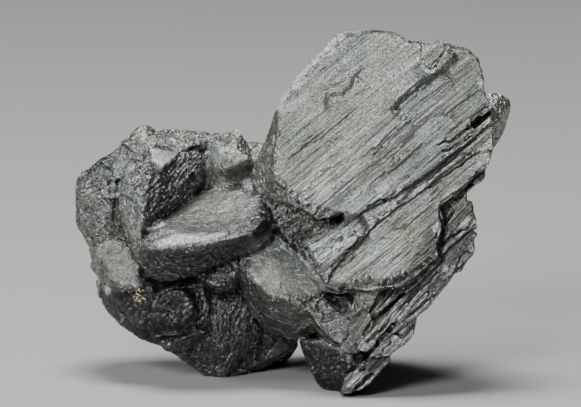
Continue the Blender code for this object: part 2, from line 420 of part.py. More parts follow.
def right_foot():
    yield hull("foot_lobe", [
        (29.9, 34.0, 5.0), (30.4, 34.2, 4.0), (32.2, 34.0, 2.6), (34.0, 35.0, 1.6), (35.4, 35.6, 1.2),
        (35.6, 36.6, 1.3), (34.8, 37.8, 1.8), (34.4, 39.0, 2.8), (34.6, 39.7, 4.0), (33.4, 39.7, 4.2),
        (32.4, 39.2, 4.6), (31.6, 38.2, 4.6), (31.2, 37.3, 4.2), (31.0, 36.4, 4.2), (30.3, 35.5, 4.6),
        (30.5, 34.0, 10.0), (36.5, 34.0, 10.0), (36.0, 37.6, 8.0), (34.6, 39.8, 6.4), (32.4, 39.2, 6.6),
    ])
    yield hull("foot_slats", [
        (34.2, 38.6, 1.4), (35.4, 37.0, 0.6), (36.6, 35.9, 0.2), (38.0, 35.4, 0.2), (39.1, 35.5, 0.9),
        (39.0, 36.1, 1.2), (38.3, 36.8, 1.2), (37.7, 37.6, 1.3), (37.0, 38.4, 1.5), (36.2, 39.0, 1.8),
        (35.2, 39.4, 2.0), (34.4, 39.5, 2.2), (35.0, 38.0, 7.0), (38.6, 36.0, 7.0), (36.0, 39.6, 5.0),
        (34.6, 39.7, 5.0), (36.0, 35.0, 7.0),
    ])


def stub(name, base, tip, base_radius, tip_radius, turn, flat=0.75):
    """A blunt six-sided crystal from its buried base to its tip, flattened like the big one."""
    start, end = Vector(base), Vector(tip)
    axis = (end - start).normalized()
    wide = axis.cross(Vector((math.sin(turn), math.cos(turn), 0.3))).normalized()
    thick = axis.cross(wide)
    corners = []
    for i in range(6):
        a = 2 * math.pi * i / 6
        out = wide * math.cos(a) + thick * math.sin(a) * flat
        corners += [start + out * base_radius, end + out * tip_radius - axis * (0.4 * tip_radius)]
    for i in range(3):
        a = 2 * math.pi * i / 3 + 0.4
        corners.append(end + (wide * math.cos(a) + thick * math.sin(a) * flat) * tip_radius * 0.5)
    return hull(name, corners)


def back_group():
    yield hull("back_mass", [
        (11.0, 17.0, 12.0), (20.0, 15.0, 13.0), (26.0, 16.0, 13.0), (31.0, 17.0, 12.0), (13.0, 30.0, 12.0),
        (20.0, 33.0, 12.0), (31.0, 31.0, 11.0), (36.0, 30.0, 9.0), (15.0, 20.0, 16.5), (22.0, 19.0, 17.0),
        (30.0, 22.0, 17.0), (17.0, 29.0, 16.5), (30.0, 31.0, 17.0),
    ])
    yield slab("second_tabular", [
        (31.0, 13.5), (34.5, 9.4), (39.0, 7.6), (43.6, 9.8), (46.0, 14.0), (45.0, 20.0), (40.6, 26.0),
        (34.0, 28.5), (29.0, 26.0), (28.0, 19.0)], 9.0, 4.0, 0.94, (-0.3, 0.2))
    yield slab("third_layer", [
        (30.0, 18.4), (33.0, 15.6), (36.0, 12.0), (39.4, 13.4), (40.6, 17.0), (39.4, 22.0), (36.6, 25.0),
        (31.5, 27.0), (28.5, 24.0)], 12.6, 2.4, 0.9, (-0.2, 0.3))
    yield stub("back_upper_left", (13.6, 20.6, 11.0), (12.8, 20.2, 18.6), 5.2, 4.4, 0.4, 0.85)
    yield stub("back_upper", (20.0, 20.4, 11.0), (19.6, 18.6, 19.4), 5.4, 4.2, 1.2, 0.8)
    yield stub("back_middle", (26.4, 22.6, 11.0), (25.8, 22.0, 20.6), 5.6, 4.6, 2.0, 0.8)
    yield stub("back_lower_left", (16.6, 27.6, 11.0), (15.8, 28.2, 19.0), 5.0, 4.2, 0.9, 0.85)
    yield stub("back_lower", (22.6, 29.6, 11.0), (22.8, 30.6, 20.0), 5.0, 4.2, 2.6, 0.85)
    yield stub("back_notch", (27.0, 17.6, 11.0), (28.0, 15.4, 17.6), 3.6, 2.8, 0.2)
    yield stub("back_cross", (33.0, 20.0, 12.0), (39.4, 23.4, 17.4), 4.4, 3.4, 2.2, 0.7)
    yield stub("back_top_stub", (39.6, 13.6, 10.0), (42.4, 11.6, 16.2), 3.6, 2.8, 1.0, 0.7)
    yield hull("rear_left", [
        (20.6, 30.0, 11.0), (26.0, 30.0, 11.0), (22.0, 38.3, 11.2), (20.4, 38.0, 11.6), (22.6, 38.2, 12.2),
        (24.2, 37.9, 13.4), (25.8, 37.5, 15.0), (27.2, 37.1, 16.8), (28.4, 36.7, 18.8), (27.0, 36.7, 20.2),
        (23.6, 37.2, 18.8), (20.6, 37.6, 15.8), (20.0, 29.0, 18.6), (29.0, 29.0, 20.6), (30.0, 30.0, 12.0),
        (29.8, 34.6, 13.0), (29.6, 35.2, 17.0),
    ])
    yield hull("rear_right", [
        (29.0, 26.0, 10.0), (37.6, 25.6, 8.0), (29.8, 33.0, 12.0), (38.2, 32.4, 9.6), (31.4, 37.2, 16.2),
        (36.6, 37.3, 15.6), (38.4, 36.8, 19.0), (34.6, 36.6, 21.4), (31.6, 36.7, 20.6), (30.0, 27.6, 20.4),
        (38.4, 27.0, 17.4), (39.4, 32.6, 18.4), (30.6, 32.0, 21.6), (35.4, 31.4, 21.8),
    ])
    yield stub("rear_side", (36.6, 26.6, 10.0), (40.6, 29.4, 15.4), 4.2, 3.0, 0.6, 0.8)


def bowl(name, middle, radii):
    """A rounded conchoidal hollow, taken out of the crystals around it."""
    bm = bmesh.new()
    bmesh.ops.create_icosphere(bm, subdivisions=3, radius=1.0)
    for v in bm.verts:
        v.co = stand(*(m + r * c for m, r, c in zip(middle, radii, v.co)))
    return new_object(name, bm)


def hollows():
    yield bowl("bowl_under_knob", (20.6, 33.6, 3.6), (1.9, 3.6, 3.6))
    yield hull("cavity_under_face", [
        (31.7, 29.15, 1.2), (34.85, 28.9, 0.0), (34.75, 31.15, 0.4), (33.5, 30.7, 1.0), (32.3, 29.9, 1.2),
        (32.4, 29.35, 5.2), (34.6, 29.25, 5.2), (34.4, 30.9, 4.6), (33.5, 30.5, 4.6),
    ])


def ground_cutter():
    """Everything below the ground is worn flat, so that the cluster stands on its feet."""
    bm = bmesh.new()
    bmesh.ops.create_cube(bm, size=GROUND_BLOCK)
    obj = new_object("ground", bm)
    for v in obj.data.vertices:
        v.co += Vector((0, 10, GROUND - GROUND_BLOCK / 2))
    return obj


def joined(name, pieces, operation="UNION"):
    """One closed solid: the first piece with all the others grown on to it, or taken away from it."""
    first, *rest = pieces
    bpy.context.scene.collection.objects.link(first)
    for other in rest:
        bpy.context.scene.collection.objects.link(other)
        other.hide_render = True
        other.display_type = "WIRE"
        step = first.modifiers.new("join", "BOOLEAN")
        step.operation = operation
        step.object = other
        step.solver = "EXACT"
        graph = bpy.context.evaluated_depsgraph_get()
        mesh = bpy.data.meshes.new_from_object(first.evaluated_get(graph))
        first.modifiers.remove(step)
        first.data = mesh
        bpy.data.objects.remove(other)
    mesh = first.data
    bpy.data.objects.remove(first)
    mesh.name = name
    return bpy.data.objects.new(name, mesh)


def shells(bm):
    """The separate closed skins of a mesh, each a list of faces."""
    left = set(bm.faces)
    found = []
    while left:
        front = [left.pop()]
        skin = list(front)
        while front:
            for edge in front.pop().edges:
                for face in edge.link_faces:
                    if face in left:
                        left.remove(face)
                        front.append(face)
                        skin.append(face)
        found.append(skin)
    return found


def drop_slivers(bm):
    """A triangle with hardly any height loses its shortest side, or turns its longest one over."""
    for face in list(bm.faces):
        if not face.is_valid:
            continue
        sides = sorted(face.edges, key=lambda e: e.calc_length())
        height = 2 * face.calc_area() / sides[-1].calc_length()
        if height > CLOSE * MM / 2:
            continue
        if sides[0].calc_length() < 5 * CLOSE * MM:
            bmesh.ops.collapse(bm, edges=[sides[0]], uvs=False)
        else:
            bmesh.ops.rotate_edges(bm, edges=[sides[-1]])


def tidy(mesh):
    """Keep the outer skin only, and make points closer together than the smallest detail one."""
    bm = bmesh.new()
    bm.from_mesh(mesh)
    outer = max(shells(bm), key=len)
    inner = [f for f in bm.faces if f not in set(outer)]
    bmesh.ops.delete(bm, geom=inner, context="FACES")
    bmesh.ops.remove_doubles(bm, verts=bm.verts, dist=CLOSE * MM)
    for _ in range(3):
        bmesh.ops.triangulate(bm, faces=bm.faces)
        bmesh.ops.dissolve_degenerate(bm, edges=bm.edges, dist=CLOSE * MM)
    bmesh.ops.triangulate(bm, faces=bm.faces)
    drop_slivers(bm)
    bm.to_mesh(mesh)
    bm.free()


def settle(obj):
    """Bring the mesh from millimetres to metres, the middle of its underside at the origin."""
    xs, ys, zs = zip(*(v.co for v in obj.data.vertices))
    shift = Vector((-(min(xs) + max(xs)) / 2, -(min(ys) + max(ys)) / 2, -min(zs)))
    for v in obj.data.vertices:
        v.co = (v.co + shift) * MM
    tidy(obj.data)


def andorite():
    """Dull steel grey sulphosalt."""
    mat = bpy.data.materials.new("andorite")
    mat.use_nodes = True
    shader = mat.node_tree.nodes["Principled BSDF"]
    shader.inputs["Base Color"].default_value = (0.165, 0.172, 0.17, 1.0)
    shader.inputs["Metallic"].default_value = 0.6
    shader.inputs["Roughness"].default_value = 0.5
    return mat


def build():
    for obj in list(bpy.data.objects):
        bpy.data.objects.remove(obj)
    plate = joined("plate", [*tabular_crystal(), *layers()])
    plate = joined("plate", [plate, *growth_steps()], "DIFFERENCE")
    left = [*upper_left(), *lower_left()]
    middle = [*centre_group(), *right_foot()]
    pieces = [plate, *face_blocks(), right_crystal(), *left, *middle, *back_group()]
    cluster = joined("andorite_cluster", pieces)
    cluster = joined("andorite_cluster", [cluster, *hollows(), ground_cutter()], "DIFFERENCE")
    settle(cluster)
    cluster.data.materials.clear()
    cluster.data.materials.append(andorite())
    bpy.context.scene.collection.objects.link(cluster)


build()
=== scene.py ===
"""Looks of the andorite specimen: grown and broken surfaces, small grains, floor, lights and camera.

Shapes are worked out in a layout grid in millimetres: x to the right, y down and w away from a viewer
who looks 10 degrees down. to_grid and to_frame change between that grid and the frame.
"""

import math
from itertools import product

import bmesh
import bpy
import numpy as np
from mathutils import Matrix, Vector


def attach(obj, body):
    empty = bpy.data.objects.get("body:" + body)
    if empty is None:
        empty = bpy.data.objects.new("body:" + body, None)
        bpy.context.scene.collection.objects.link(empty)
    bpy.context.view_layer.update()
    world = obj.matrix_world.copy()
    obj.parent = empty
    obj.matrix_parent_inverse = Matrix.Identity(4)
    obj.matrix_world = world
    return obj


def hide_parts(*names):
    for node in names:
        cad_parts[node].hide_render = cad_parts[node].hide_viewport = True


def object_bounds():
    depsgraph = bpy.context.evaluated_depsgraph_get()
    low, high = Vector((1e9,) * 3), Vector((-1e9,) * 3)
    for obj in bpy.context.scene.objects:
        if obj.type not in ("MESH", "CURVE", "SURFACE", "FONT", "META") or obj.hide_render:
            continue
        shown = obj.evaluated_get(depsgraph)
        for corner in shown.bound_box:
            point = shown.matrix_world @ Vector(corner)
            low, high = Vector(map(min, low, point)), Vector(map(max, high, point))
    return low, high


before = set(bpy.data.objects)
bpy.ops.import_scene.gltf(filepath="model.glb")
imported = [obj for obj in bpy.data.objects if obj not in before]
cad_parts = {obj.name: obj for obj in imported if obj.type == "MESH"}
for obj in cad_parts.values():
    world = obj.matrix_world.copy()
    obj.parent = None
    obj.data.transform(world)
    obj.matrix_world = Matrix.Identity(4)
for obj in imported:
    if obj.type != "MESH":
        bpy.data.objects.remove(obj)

CAD_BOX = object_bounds()
NODE = "andorite_cluster"

# The layout grid, as the solids use it.
MM = 0.001
LEAN = math.radians(10.0)
GRID_ORIGIN = np.array((29.0, 39.4, 0.0))
SETTLED = np.array((-0.25, -11.784, 0.45))
TURN = np.array((
    (1.0, 0.0, 0.0),
    (0.0, -math.sin(LEAN), -math.cos(LEAN)),
    (0.0, math.cos(LEAN), -math.sin(LEAN)),
))

# The broad face of the tabular crystal, and how deep a point lies below it.
FACE_DEPTH = 9.19
FACE_FALL = np.array((0.155, 0.206))
FACE_NORMAL = -np.array((0.155, 0.206, 1.0)) / math.sqrt(1.0 + 0.155 ** 2 + 0.206 ** 2)

# Growth lines run up to the right over the broad face, and steeper in the layers below it.
FACE_LINES = math.radians(40.0)
LAYER_LINES = math.radians(48.0)

# The finished surface: the gap below which corners of the solid are joined and the spacing of its first
# even skin, both in millimetres, how many triangles are kept of it, and the vertex weights from the front
# to the back, with their influence, that the thinning goes by.
SMALLEST_GAP = 0.0001
VOXEL = 0.115
SURFACE_TRIANGLES = 190000
THINNING_WEIGHTS = (0.80, 0.85, 0.90, 0.95, 1.00)
THINNING_INFLUENCE = 0.01

# Rounds of softening: where one crystal passes into the next, over the whole skin, and to find the small
# and the broad raised edges and hollows.
JOINT_ROUNDS = 60
SKIN_ROUNDS = 2
FINE_ROUNDS = 3
WIDE_ROUNDS = 40

# How far into the cluster each zone reaches: full at the first depth in millimetres, gone at the second.
# The first four are below the broad face, the last two along w.
FACE_ZONE = (5.0, 7.0)
LAYER_ZONE = (9.0, 12.0)
CRYSTAL_ZONE = (13.0, 15.0)
LEVEL_ZONE = (1.7, 2.0)
FRONT_ZONE = (12.0, 14.0)
JOINT_ZONE = (13.0, 15.0)
# Where in x the left group passes into the tabular crystal.
CRYSTAL_START = (25.5, 27.5)


# Numbers

# Farther than anything here, and how many random directions a pattern chooses from, a power of two.
FAR = 1e9
CHOICES = 1024


def unit(vector):
    return vector / np.linalg.norm(vector)


def to_grid(points):
    """Frame millimetres to layout grid."""
    return (points - SETTLED) @ TURN.T + GRID_ORIGIN


def to_frame(points):
    """Layout grid to frame millimetres."""
    return (points - GRID_ORIGIN) @ TURN + SETTLED


def line_axes(angle):
    """Axes along the growth lines, across them and out of the stone, as rows in the layout grid."""
    along = np.array((math.cos(angle), -math.sin(angle), 0.0))
    along[2] = -FACE_FALL @ along[:2]
    along = unit(along)
    return np.array((along, np.cross(FACE_NORMAL, along), FACE_NORMAL))


def depth_below_face(points):
    return points[:, 2] - FACE_DEPTH + points[:, :2] @ FACE_FALL


def ease(values, start, end):
    """0 up to start, 1 from end on, and a smooth rise between them."""
    share = np.clip((values - start) / (end - start), 0.0, 1.0)
    return share * share * (3.0 - 2.0 * share)


def within(points, outline, soft):
    """1 inside an outline in x and y, 0 outside, and a smooth change soft millimetres wide."""
    corners = np.array(outline)
    low, high = corners.min(axis=0) - soft, corners.max(axis=0) + soft
    close = ((points[:, :2] > low) & (points[:, :2] < high)).all(axis=1)
    x, y = points[close, 0], points[close, 1]
    nearest = np.full(len(x), FAR)
    inside = np.zeros(len(x), bool)
    for (ax, ay), (bx, by) in zip(outline, outline[1:] + outline[:1]):
        run_x, run_y = bx - ax, by - ay
        share = np.clip(((x - ax) * run_x + (y - ay) * run_y) / (run_x ** 2 + run_y ** 2), 0.0, 1.0)
        nearest = np.minimum(nearest, np.hypot(x - ax - share * run_x, y - ay - share * run_y))
        if run_y:
            inside ^= ((ay > y) != (by > y)) & (x < ax + (y - ay) * run_x / run_y)
    shares = np.zeros(len(points))
    shares[close] = ease(np.where(inside, nearest, -nearest), -soft / 2, soft / 2)
    return shares


def along_line(points, corners):
    """For each point, how far it is in x and y from a line through corners, and how far along it lies."""
    place = points[:, :2]
    corners = np.array(corners)
    nearest = np.full(len(points), FAR)
    passed = np.zeros(len(points))
    for number, (start, end) in enumerate(zip(corners, corners[1:])):
        run = end - start
        share = np.clip((place - start) @ run / (run @ run), 0.0, 1.0)
        distance = np.hypot(*(place - start - share[:, None] * run).T)
        passed = np.where(distance < nearest, (number + share) / (len(corners) - 1), passed)
        nearest = np.minimum(nearest, distance)
    return nearest, passed


def cell_numbers(cells, seed):
    """A steady scattered number below CHOICES for each lattice cell."""
    mixed = cells[:, 0] * 73856093 ^ cells[:, 1] * 19349663 ^ cells[:, 2] * 83492791 ^ seed * 7919
    return (mixed ^ (mixed >> 11) ^ (mixed >> 5)) & (CHOICES - 1)


def scattered(seed):
    """Random directions of random length up to about 1."""
    return np.random.RandomState(seed).uniform(-1.0, 1.0, (CHOICES, 3))


def waves(points, size, seed):
    """Smooth noise from about -1 to 1. Size is one wave's width, or one width for each axis."""
    places = points / size
    base = np.floor(places).astype(np.int64)
    part = places - base
    blend = part ** 3 * (part * (part * 6.0 - 15.0) + 10.0)
    slopes = scattered(seed)
    total = np.zeros(len(points))
    for corner in product((0, 1), repeat=3):
        weight = np.where(corner, blend, 1.0 - blend).prod(axis=1)
        total += weight * ((part - corner) * slopes[cell_numbers(base + corner, seed)]).sum(axis=1)
    return total * 1.6


def tilted_cells(points, size, seed):
    """A plane of random slope over each cell of a random foam, from about -1 to 1. Size is a cell's width,
    or one width for each axis."""
    places = points / size
    base = np.floor(places).astype(np.int64)
    middles = scattered(seed) * 0.42 + 0.5
    slopes = scattered(seed + 1)
    nearest = np.full(len(points), FAR)
    tilt = np.zeros(len(points))
    for offset in product((-1, 0, 1), repeat=3):
        cell = base + offset
        number = cell_numbers(cell, seed)
        away = places - cell - middles[number]
        distance = np.sqrt((away * away).sum(axis=1))
        tilt = np.where(distance < nearest, (away * slopes[number]).sum(axis=1), tilt)
        nearest = np.minimum(nearest, distance)
    return tilt


def steps(values, sharp=0.25):
    """Values turned into flat treads with steep risers between them."""
    tread = np.floor(values)
    return tread + ease(values - tread, 1.0 - sharp, 1.0)


def ridged(points, size, seed):
    """Sharp crests with rounded hollows between them, from about -1 to 1."""
    return 1.0 - 3.0 * np.abs(waves(points, size, seed))


def fissures(points, size, seed, width):
    """1 along thin winding lines and 0 between them."""
    return 1.0 - ease(np.abs(waves(points, size, seed)), 0.0, width)


def warped(points, amount, size, seed):
    """Points shifted about, so that what is laid out on them bends and breaks."""
    shifts = [waves(points, size, seed + axis) for axis in range(3)]
    return points + amount * np.array(shifts).T


def turned(points, degrees):
    """Points with X turned to run up to the right by some degrees."""
    angle = math.radians(degrees)
    return points @ np.array((
        (math.cos(angle), math.sin(angle), 0.0), (-math.sin(angle), math.cos(angle), 0.0), (0.0, 0.0, 1.0)))


# Meshes

def linked(name, mesh):
    item = bpy.data.objects.new(name, mesh)
    bpy.context.scene.collection.objects.link(item)
    return item


def with_modifiers_applied(item):
    """The item's evaluated mesh. The item itself is removed."""
    seen = item.evaluated_get(bpy.context.evaluated_depsgraph_get())
    mesh = bpy.data.meshes.new_from_object(seen)
    bpy.data.objects.remove(item)
    return mesh


def points_of(mesh):
    values = np.empty(len(mesh.vertices) * 3)
    mesh.vertices.foreach_get("co", values)
    return values.reshape(-1, 3)


def set_points(mesh, points):
    mesh.vertices.foreach_set("co", points.ravel())
    mesh.update()


def normals_of(mesh):
    """Vertex normals turned into the layout grid."""
    values = np.empty(len(mesh.vertices) * 3)
    mesh.vertex_normals.foreach_get("vector", values)
    return values.reshape(-1, 3) @ TURN.T


def edges_of(mesh):
    values = np.empty(len(mesh.edges) * 2, np.int32)
    mesh.edges.foreach_get("vertices", values)
    return values.reshape(-1, 2)


def neighbour_means(values, edges):
    """For each vertex, the mean of its neighbours' values."""
    first, second = edges.T
    count = np.bincount(edges.ravel(), minlength=len(values))
    sums = [
        np.bincount(first, column[second], len(values)) + np.bincount(second, column[first], len(values))
        for column in values.T
    ]
    return np.array(sums).T / count[:, None]


def fine_skin(node):
    """A closed, even mesh over a CAD node's solid, in millimetres."""
    solid = bmesh.new()
    solid.from_mesh(node.data)
    bmesh.ops.remove_doubles(solid, verts=solid.verts, dist=SMALLEST_GAP * MM)
    bmesh.ops.scale(solid, verts=solid.verts, vec=Vector((1.0, 1.0, 1.0)) / MM)
    mesh = bpy.data.meshes.new("solid")
    solid.to_mesh(mesh)
    solid.free()
    item = linked("solid", mesh)
    remesh = item.modifiers.new("even_skin", "REMESH")
    remesh.mode = "VOXEL"
    remesh.voxel_size = VOXEL
    return with_modifiers_applied(item)


def thinned(mesh, triangles, spare):
    """The mesh with about so many triangles. Spare is 1 where more of them may go and 0 where fewer."""
    item = linked("thinned", mesh)
    group = item.vertex_groups.new(name="spare")
    levels = np.round(spare * (len(THINNING_WEIGHTS) - 1))
    for level, weight in enumerate(THINNING_WEIGHTS):
        group.add(np.nonzero(levels == level)[0].tolist(), weight, "REPLACE")
    thin = item.modifiers.new("thin", "DECIMATE")
    thin.ratio = min(1.0, triangles / (2 * len(mesh.polygons)))
    thin.vertex_group = group.name
    thin.vertex_group_factor = THINNING_INFLUENCE
    return with_modifiers_applied(item)


# The specimen's surface

# Outlines of the kinds of surface, as x and y in the layout grid: the tabular crystal's broad face, the
# thin layers below it, the corner broken off it, and the smoother faces of the left group.
TABULAR = [
    (34.3, 3.0), (40.0, 3.0), (48.0, 5.0), (49.3, 10.0), (49.3, 15.5), (47.0, 18.0), (44.0, 20.5),
    (44.0, 25.0), (41.0, 27.5), (35.2, 28.6), (33.0, 28.3), (29.6, 23.0), (28.7, 18.5), (27.5, 17.5),
    (28.2, 10.5), (31.3, 6.3)]
LAYERS = [
    (48.8, 17.0), (45.0, 21.0), (44.0, 26.0), (38.5, 29.0), (35.0, 32.0), (35.2, 35.5), (34.6, 39.8),
    (38.0, 40.0), (49.5, 26.0), (49.5, 18.0)]
BROKEN_CORNER = [
    (27.4, 18.0), (28.8, 18.6), (30.2, 20.2), (34.4, 21.4), (34.4, 22.3), (31.8, 23.2), (30.6, 24.4),
    (29.0, 25.0), (26.6, 22.0)]
SHELF_TOP = [
    (15.5, 23.3), (17.5, 20.5), (20.0, 19.0), (24.0, 18.8), (26.0, 20.0), (22.6, 23.2), (19.0, 23.7)]
STUB_FACE = [
    (9.6, 24.8), (10.8, 23.8), (12.6, 24.3), (13.2, 25.8), (14.0, 28.2), (12.4, 28.8), (10.4, 27.4)]
CENTRE_FACE = [(24.2, 24.6), (27.0, 23.8), (29.5, 25.2), (33.0, 28.6), (32.0, 29.6), (26.0, 29.3)]
KNOB_FACE = [(20.4, 14.4), (23.0, 14.8), (24.8, 15.4), (24.8, 17.8), (22.8, 18.6), (20.6, 18.8)]
TOP_FACET = [(15.0, 14.8), (18.0, 15.3), (17.2, 16.0), (16.1, 16.9), (15.1, 16.2)]

# The smoother faces: outline, how smooth, how wide the change at the outline is, the axis that they look
# back along (1 for upwards, 2 for the front), and how squarely where smoothness starts and is full.
SMOOTH_FACES = [
    (SHELF_TOP, 0.8, 1.0, 1, (0.2, 0.6)),
    (STUB_FACE, 1.0, 0.8, 2, (0.3, 0.6)),
    (CENTRE_FACE, 1.0, 0.8, 2, (0.3, 0.6)),
    (KNOB_FACE, 0.8, 0.8, 2, (0.3, 0.6)),
    (TOP_FACET, 1.0, 0.4, 1, (0.1, 0.4)),
]

# The shallow dish in the shelf's top: its middle and half its size in x and y, and its depth.
DISH_MIDDLE = (20.6, 21.4)
DISH_HALF_SIZE = (5.6, 2.4)
DISH_DEPTH = 0.5

# The broad face's highest growth level, and the block at its lower left.
HIGHEST_LEVEL = [
    (25.0, 9.0), (32.0, 4.0), (36.0, 2.0), (49.0, 4.0), (49.8, 9.3), (48.8, 9.9), (46.9, 11.5),
    (46.6, 12.4), (46.6, 13.7), (45.9, 14.9), (44.7, 15.9), (42.9, 17.3), (40.8, 18.8), (38.5, 19.6),
    (36.0, 20.8), (34.4, 20.9), (33.0, 20.9), (31.2, 20.2), (28.6, 19.8), (26.5, 18.0)]
LOWER_LEFT_BLOCK = [
    (30.2, 24.4), (32.2, 23.4), (34.0, 22.5), (34.9, 22.0), (35.8, 21.9), (36.3, 22.6), (36.3, 23.5),
    (35.4, 24.5), (33.9, 25.8), (32.6, 26.6), (31.4, 25.6)]
# Each of them with its depth below the broad face and how wide the change at its outline is.
LEVELS = [(HIGHEST_LEVEL, 0.0, 0.4), (LOWER_LEFT_BLOCK, 0.5, 1.4)]

# Growth lines are stronger towards the lower right, and fainter away from the upper left edge: the
# directions, and how far along them the change starts and ends.
TO_LOWER_RIGHT = np.array((0.5, 0.86, 0.0))
STRONGER_LINES = (24.0, 34.0)
FROM_UPPER_LEFT = np.array((0.8, 0.6, 0.0))
LEFT_EDGE_LINES = (27.5, 31.0)

# A level is laid flat twice, with so many rounds of softening after each.
LEVEL_ROUNDS = (12, 0)

# Ledges on the broad face: the upper edge's points from left to right, how far the face drops beyond it,
# how wide the riser is and how far away the drop has faded out.
LEDGES = [
    ([(32.2, 9.6), (33.2, 9.5), (34.3, 9.3), (35.0, 8.6), (35.7, 7.4), (36.6, 6.1)], 0.13, 0.60, 2.4),
    ([(38.9, 11.2), (40.3, 9.8), (42.0, 8.4), (43.8, 7.3), (45.0, 6.8)], 0.42, 0.75, 3.4),
    ([(42.0, 5.9), (43.0, 6.6), (44.2, 5.4), (45.0, 4.6)], -0.22, 0.25, 2.0),
    ([(28.0, 16.6), (31.0, 14.2), (31.4, 14.3), (34.2, 12.0), (36.6, 10.1)], 0.07, 0.2, 2.5),
    ([(35.6, 16.2), (37.4, 14.7), (37.7, 14.8), (40.6, 12.4), (41.4, 11.8)], 0.10, 0.2, 2.0),
    ([(30.2, 19.0), (33.0, 16.7), (33.4, 16.8), (35.6, 15.0)], 0.08, 0.2, 1.6),
    ([(36.2, 19.2), (38.4, 17.3), (38.9, 17.3), (41.2, 15.3), (42.8, 14.0)], 0.12, 0.2, 2.2),
    ([(44.6, 11.4), (46.6, 9.9), (48.2, 8.8)], 0.10, 0.2, 2.0),
]
# The steps right and down, from an edge's last and first points, that close its ledge's outline.
LEDGE_BELOW = ((6.0, 3.0), (-4.0, 4.5))

# Grooves, and ridges of negative depth: the line in x and y, its width at the base and its depth.
DRAWN_LINES = [
    ([(48.6, 10.6), (48.0, 11.1), (47.0, 12.0)], 0.24, 0.08),
    ([(47.3, 12.5), (46.4, 13.1), (45.6, 13.7), (45.0, 14.2), (44.3, 14.2), (43.6, 14.6)], 0.30, 0.22),
    ([(47.7, 12.8), (46.7, 13.6), (45.7, 14.4), (44.9, 15.0), (44.1, 15.1)], 0.28, 0.20),
    ([(47.8, 13.7), (46.6, 14.5), (45.9, 15.0)], 0.28, 0.10),
    ([(46.6, 14.4), (45.2, 15.8), (43.8, 16.9), (42.6, 18.0), (41.4, 18.8), (40.3, 19.9), (39.5, 20.4)],
     0.28, 0.16),
    ([(47.4, 14.9), (46.2, 15.9), (44.8, 17.0), (43.6, 18.0), (42.6, 19.0)], 0.24, 0.12),
    ([(46.6, 15.2), (45.0, 16.5), (43.6, 17.6), (42.6, 18.5)], 0.45, -0.15),
    ([(39.8, 18.9), (39.0, 19.6), (38.5, 20.0), (38.0, 19.9), (37.2, 20.5), (36.6, 20.8)], 0.32, 0.20),
    ([(40.2, 12.3), (38.6, 13.8), (37.7, 14.8), (37.4, 15.2)], 0.26, 0.08),
    ([(38.3, 14.6), (37.7, 15.2), (37.3, 15.6)], 0.26, 0.10),
    ([(41.4, 13.4), (40.8, 14.0), (40.0, 14.9)], 0.26, 0.10),
    ([(36.3, 23.8), (35.2, 24.9), (33.9, 26.1), (33.0, 26.9)], 0.70, 0.14),
    ([(46.4, 18.8), (45.2, 19.4), (44.2, 20.1), (43.9, 21.2), (44.1, 22.2), (43.7, 23.3), (43.4, 24.4)],
     0.28, 0.14),
    ([(44.0, 24.7), (45.0, 23.7), (46.4, 22.9), (47.0, 22.8)], 0.32, 0.18),
    ([(45.4, 21.0), (44.6, 22.4), (44.0, 23.4)], 0.28, 0.12),
    ([(36.0, 34.0), (37.0, 32.4), (38.4, 31.2), (39.6, 30.0), (40.8, 28.8), (42.6, 27.2), (43.8, 26.0)],
     0.50, 0.40),
    ([(36.5, 34.3), (37.6, 33.3), (38.8, 32.3)], 0.30, 0.20),
    ([(36.2, 36.0), (37.4, 34.6), (38.6, 33.3), (39.8, 32.0)], 0.55, 0.40),
    ([(39.2, 33.0), (40.6, 31.8), (42.2, 30.4), (43.8, 29.2)], 0.30, 0.15),
    ([(38.9, 33.2), (39.6, 33.3), (40.2, 33.7), (40.8, 33.2), (41.4, 32.2)], 0.30, 0.20),
    ([(38.2, 35.2), (39.2, 34.1)], 0.28, 0.12),
    ([(39.6, 31.0), (41.2, 29.6), (43.4, 27.6), (44.8, 26.4)], 0.28, 0.10),
    ([(44.2, 28.4), (45.4, 27.2), (46.6, 26.2)], 0.28, 0.10),
    ([(34.7, 38.5), (35.6, 37.6), (36.6, 36.8)], 0.36, 0.30),
    ([(34.4, 37.6), (35.2, 36.8), (36.2, 36.0)], 0.36, 0.25),
    ([(35.2, 39.3), (36.4, 38.1), (37.4, 37.2)], 0.36, 0.25),
    ([(34.5, 38.1), (35.3, 37.3), (36.2, 36.5)], 0.28, -0.12),
    ([(35.0, 38.9), (36.0, 38.0), (36.9, 37.1)], 0.28, -0.12),
    ([(36.8, 35.8), (38.0, 34.5), (39.2, 33.6)], 0.36, -0.08),
    ([(36.4, 34.6), (37.8, 33.0), (39.0, 31.7)], 0.32, -0.08),
    ([(18.8, 28.9), (17.2, 28.8), (16.0, 29.5), (15.4, 30.8)], 0.50, 0.12),
    ([(26.8, 22.0), (28.4, 23.8), (30.0, 25.3), (31.4, 27.3), (33.0, 28.9)], 0.44, 0.30),
    ([(15.2, 25.6), (15.9, 26.6), (17.0, 27.3), (18.6, 27.6)], 0.30, 0.12),
    ([(16.6, 25.4), (17.2, 26.2), (18.4, 26.8), (20.0, 26.6)], 0.28, 0.10),
    ([(20.8, 25.2), (21.7, 26.0), (21.4, 27.0), (20.4, 27.5)], 0.30, 0.15),
    ([(12.4, 23.6), (13.4, 25.8), (14.6, 28.4)], 0.40, 0.12),
    ([(9.4, 24.8), (9.3, 25.8), (10.2, 27.4), (11.4, 28.6)], 0.34, 0.08),
    ([(22.0, 25.9), (23.0, 26.4), (23.8, 27.6)], 0.30, 0.15),
]

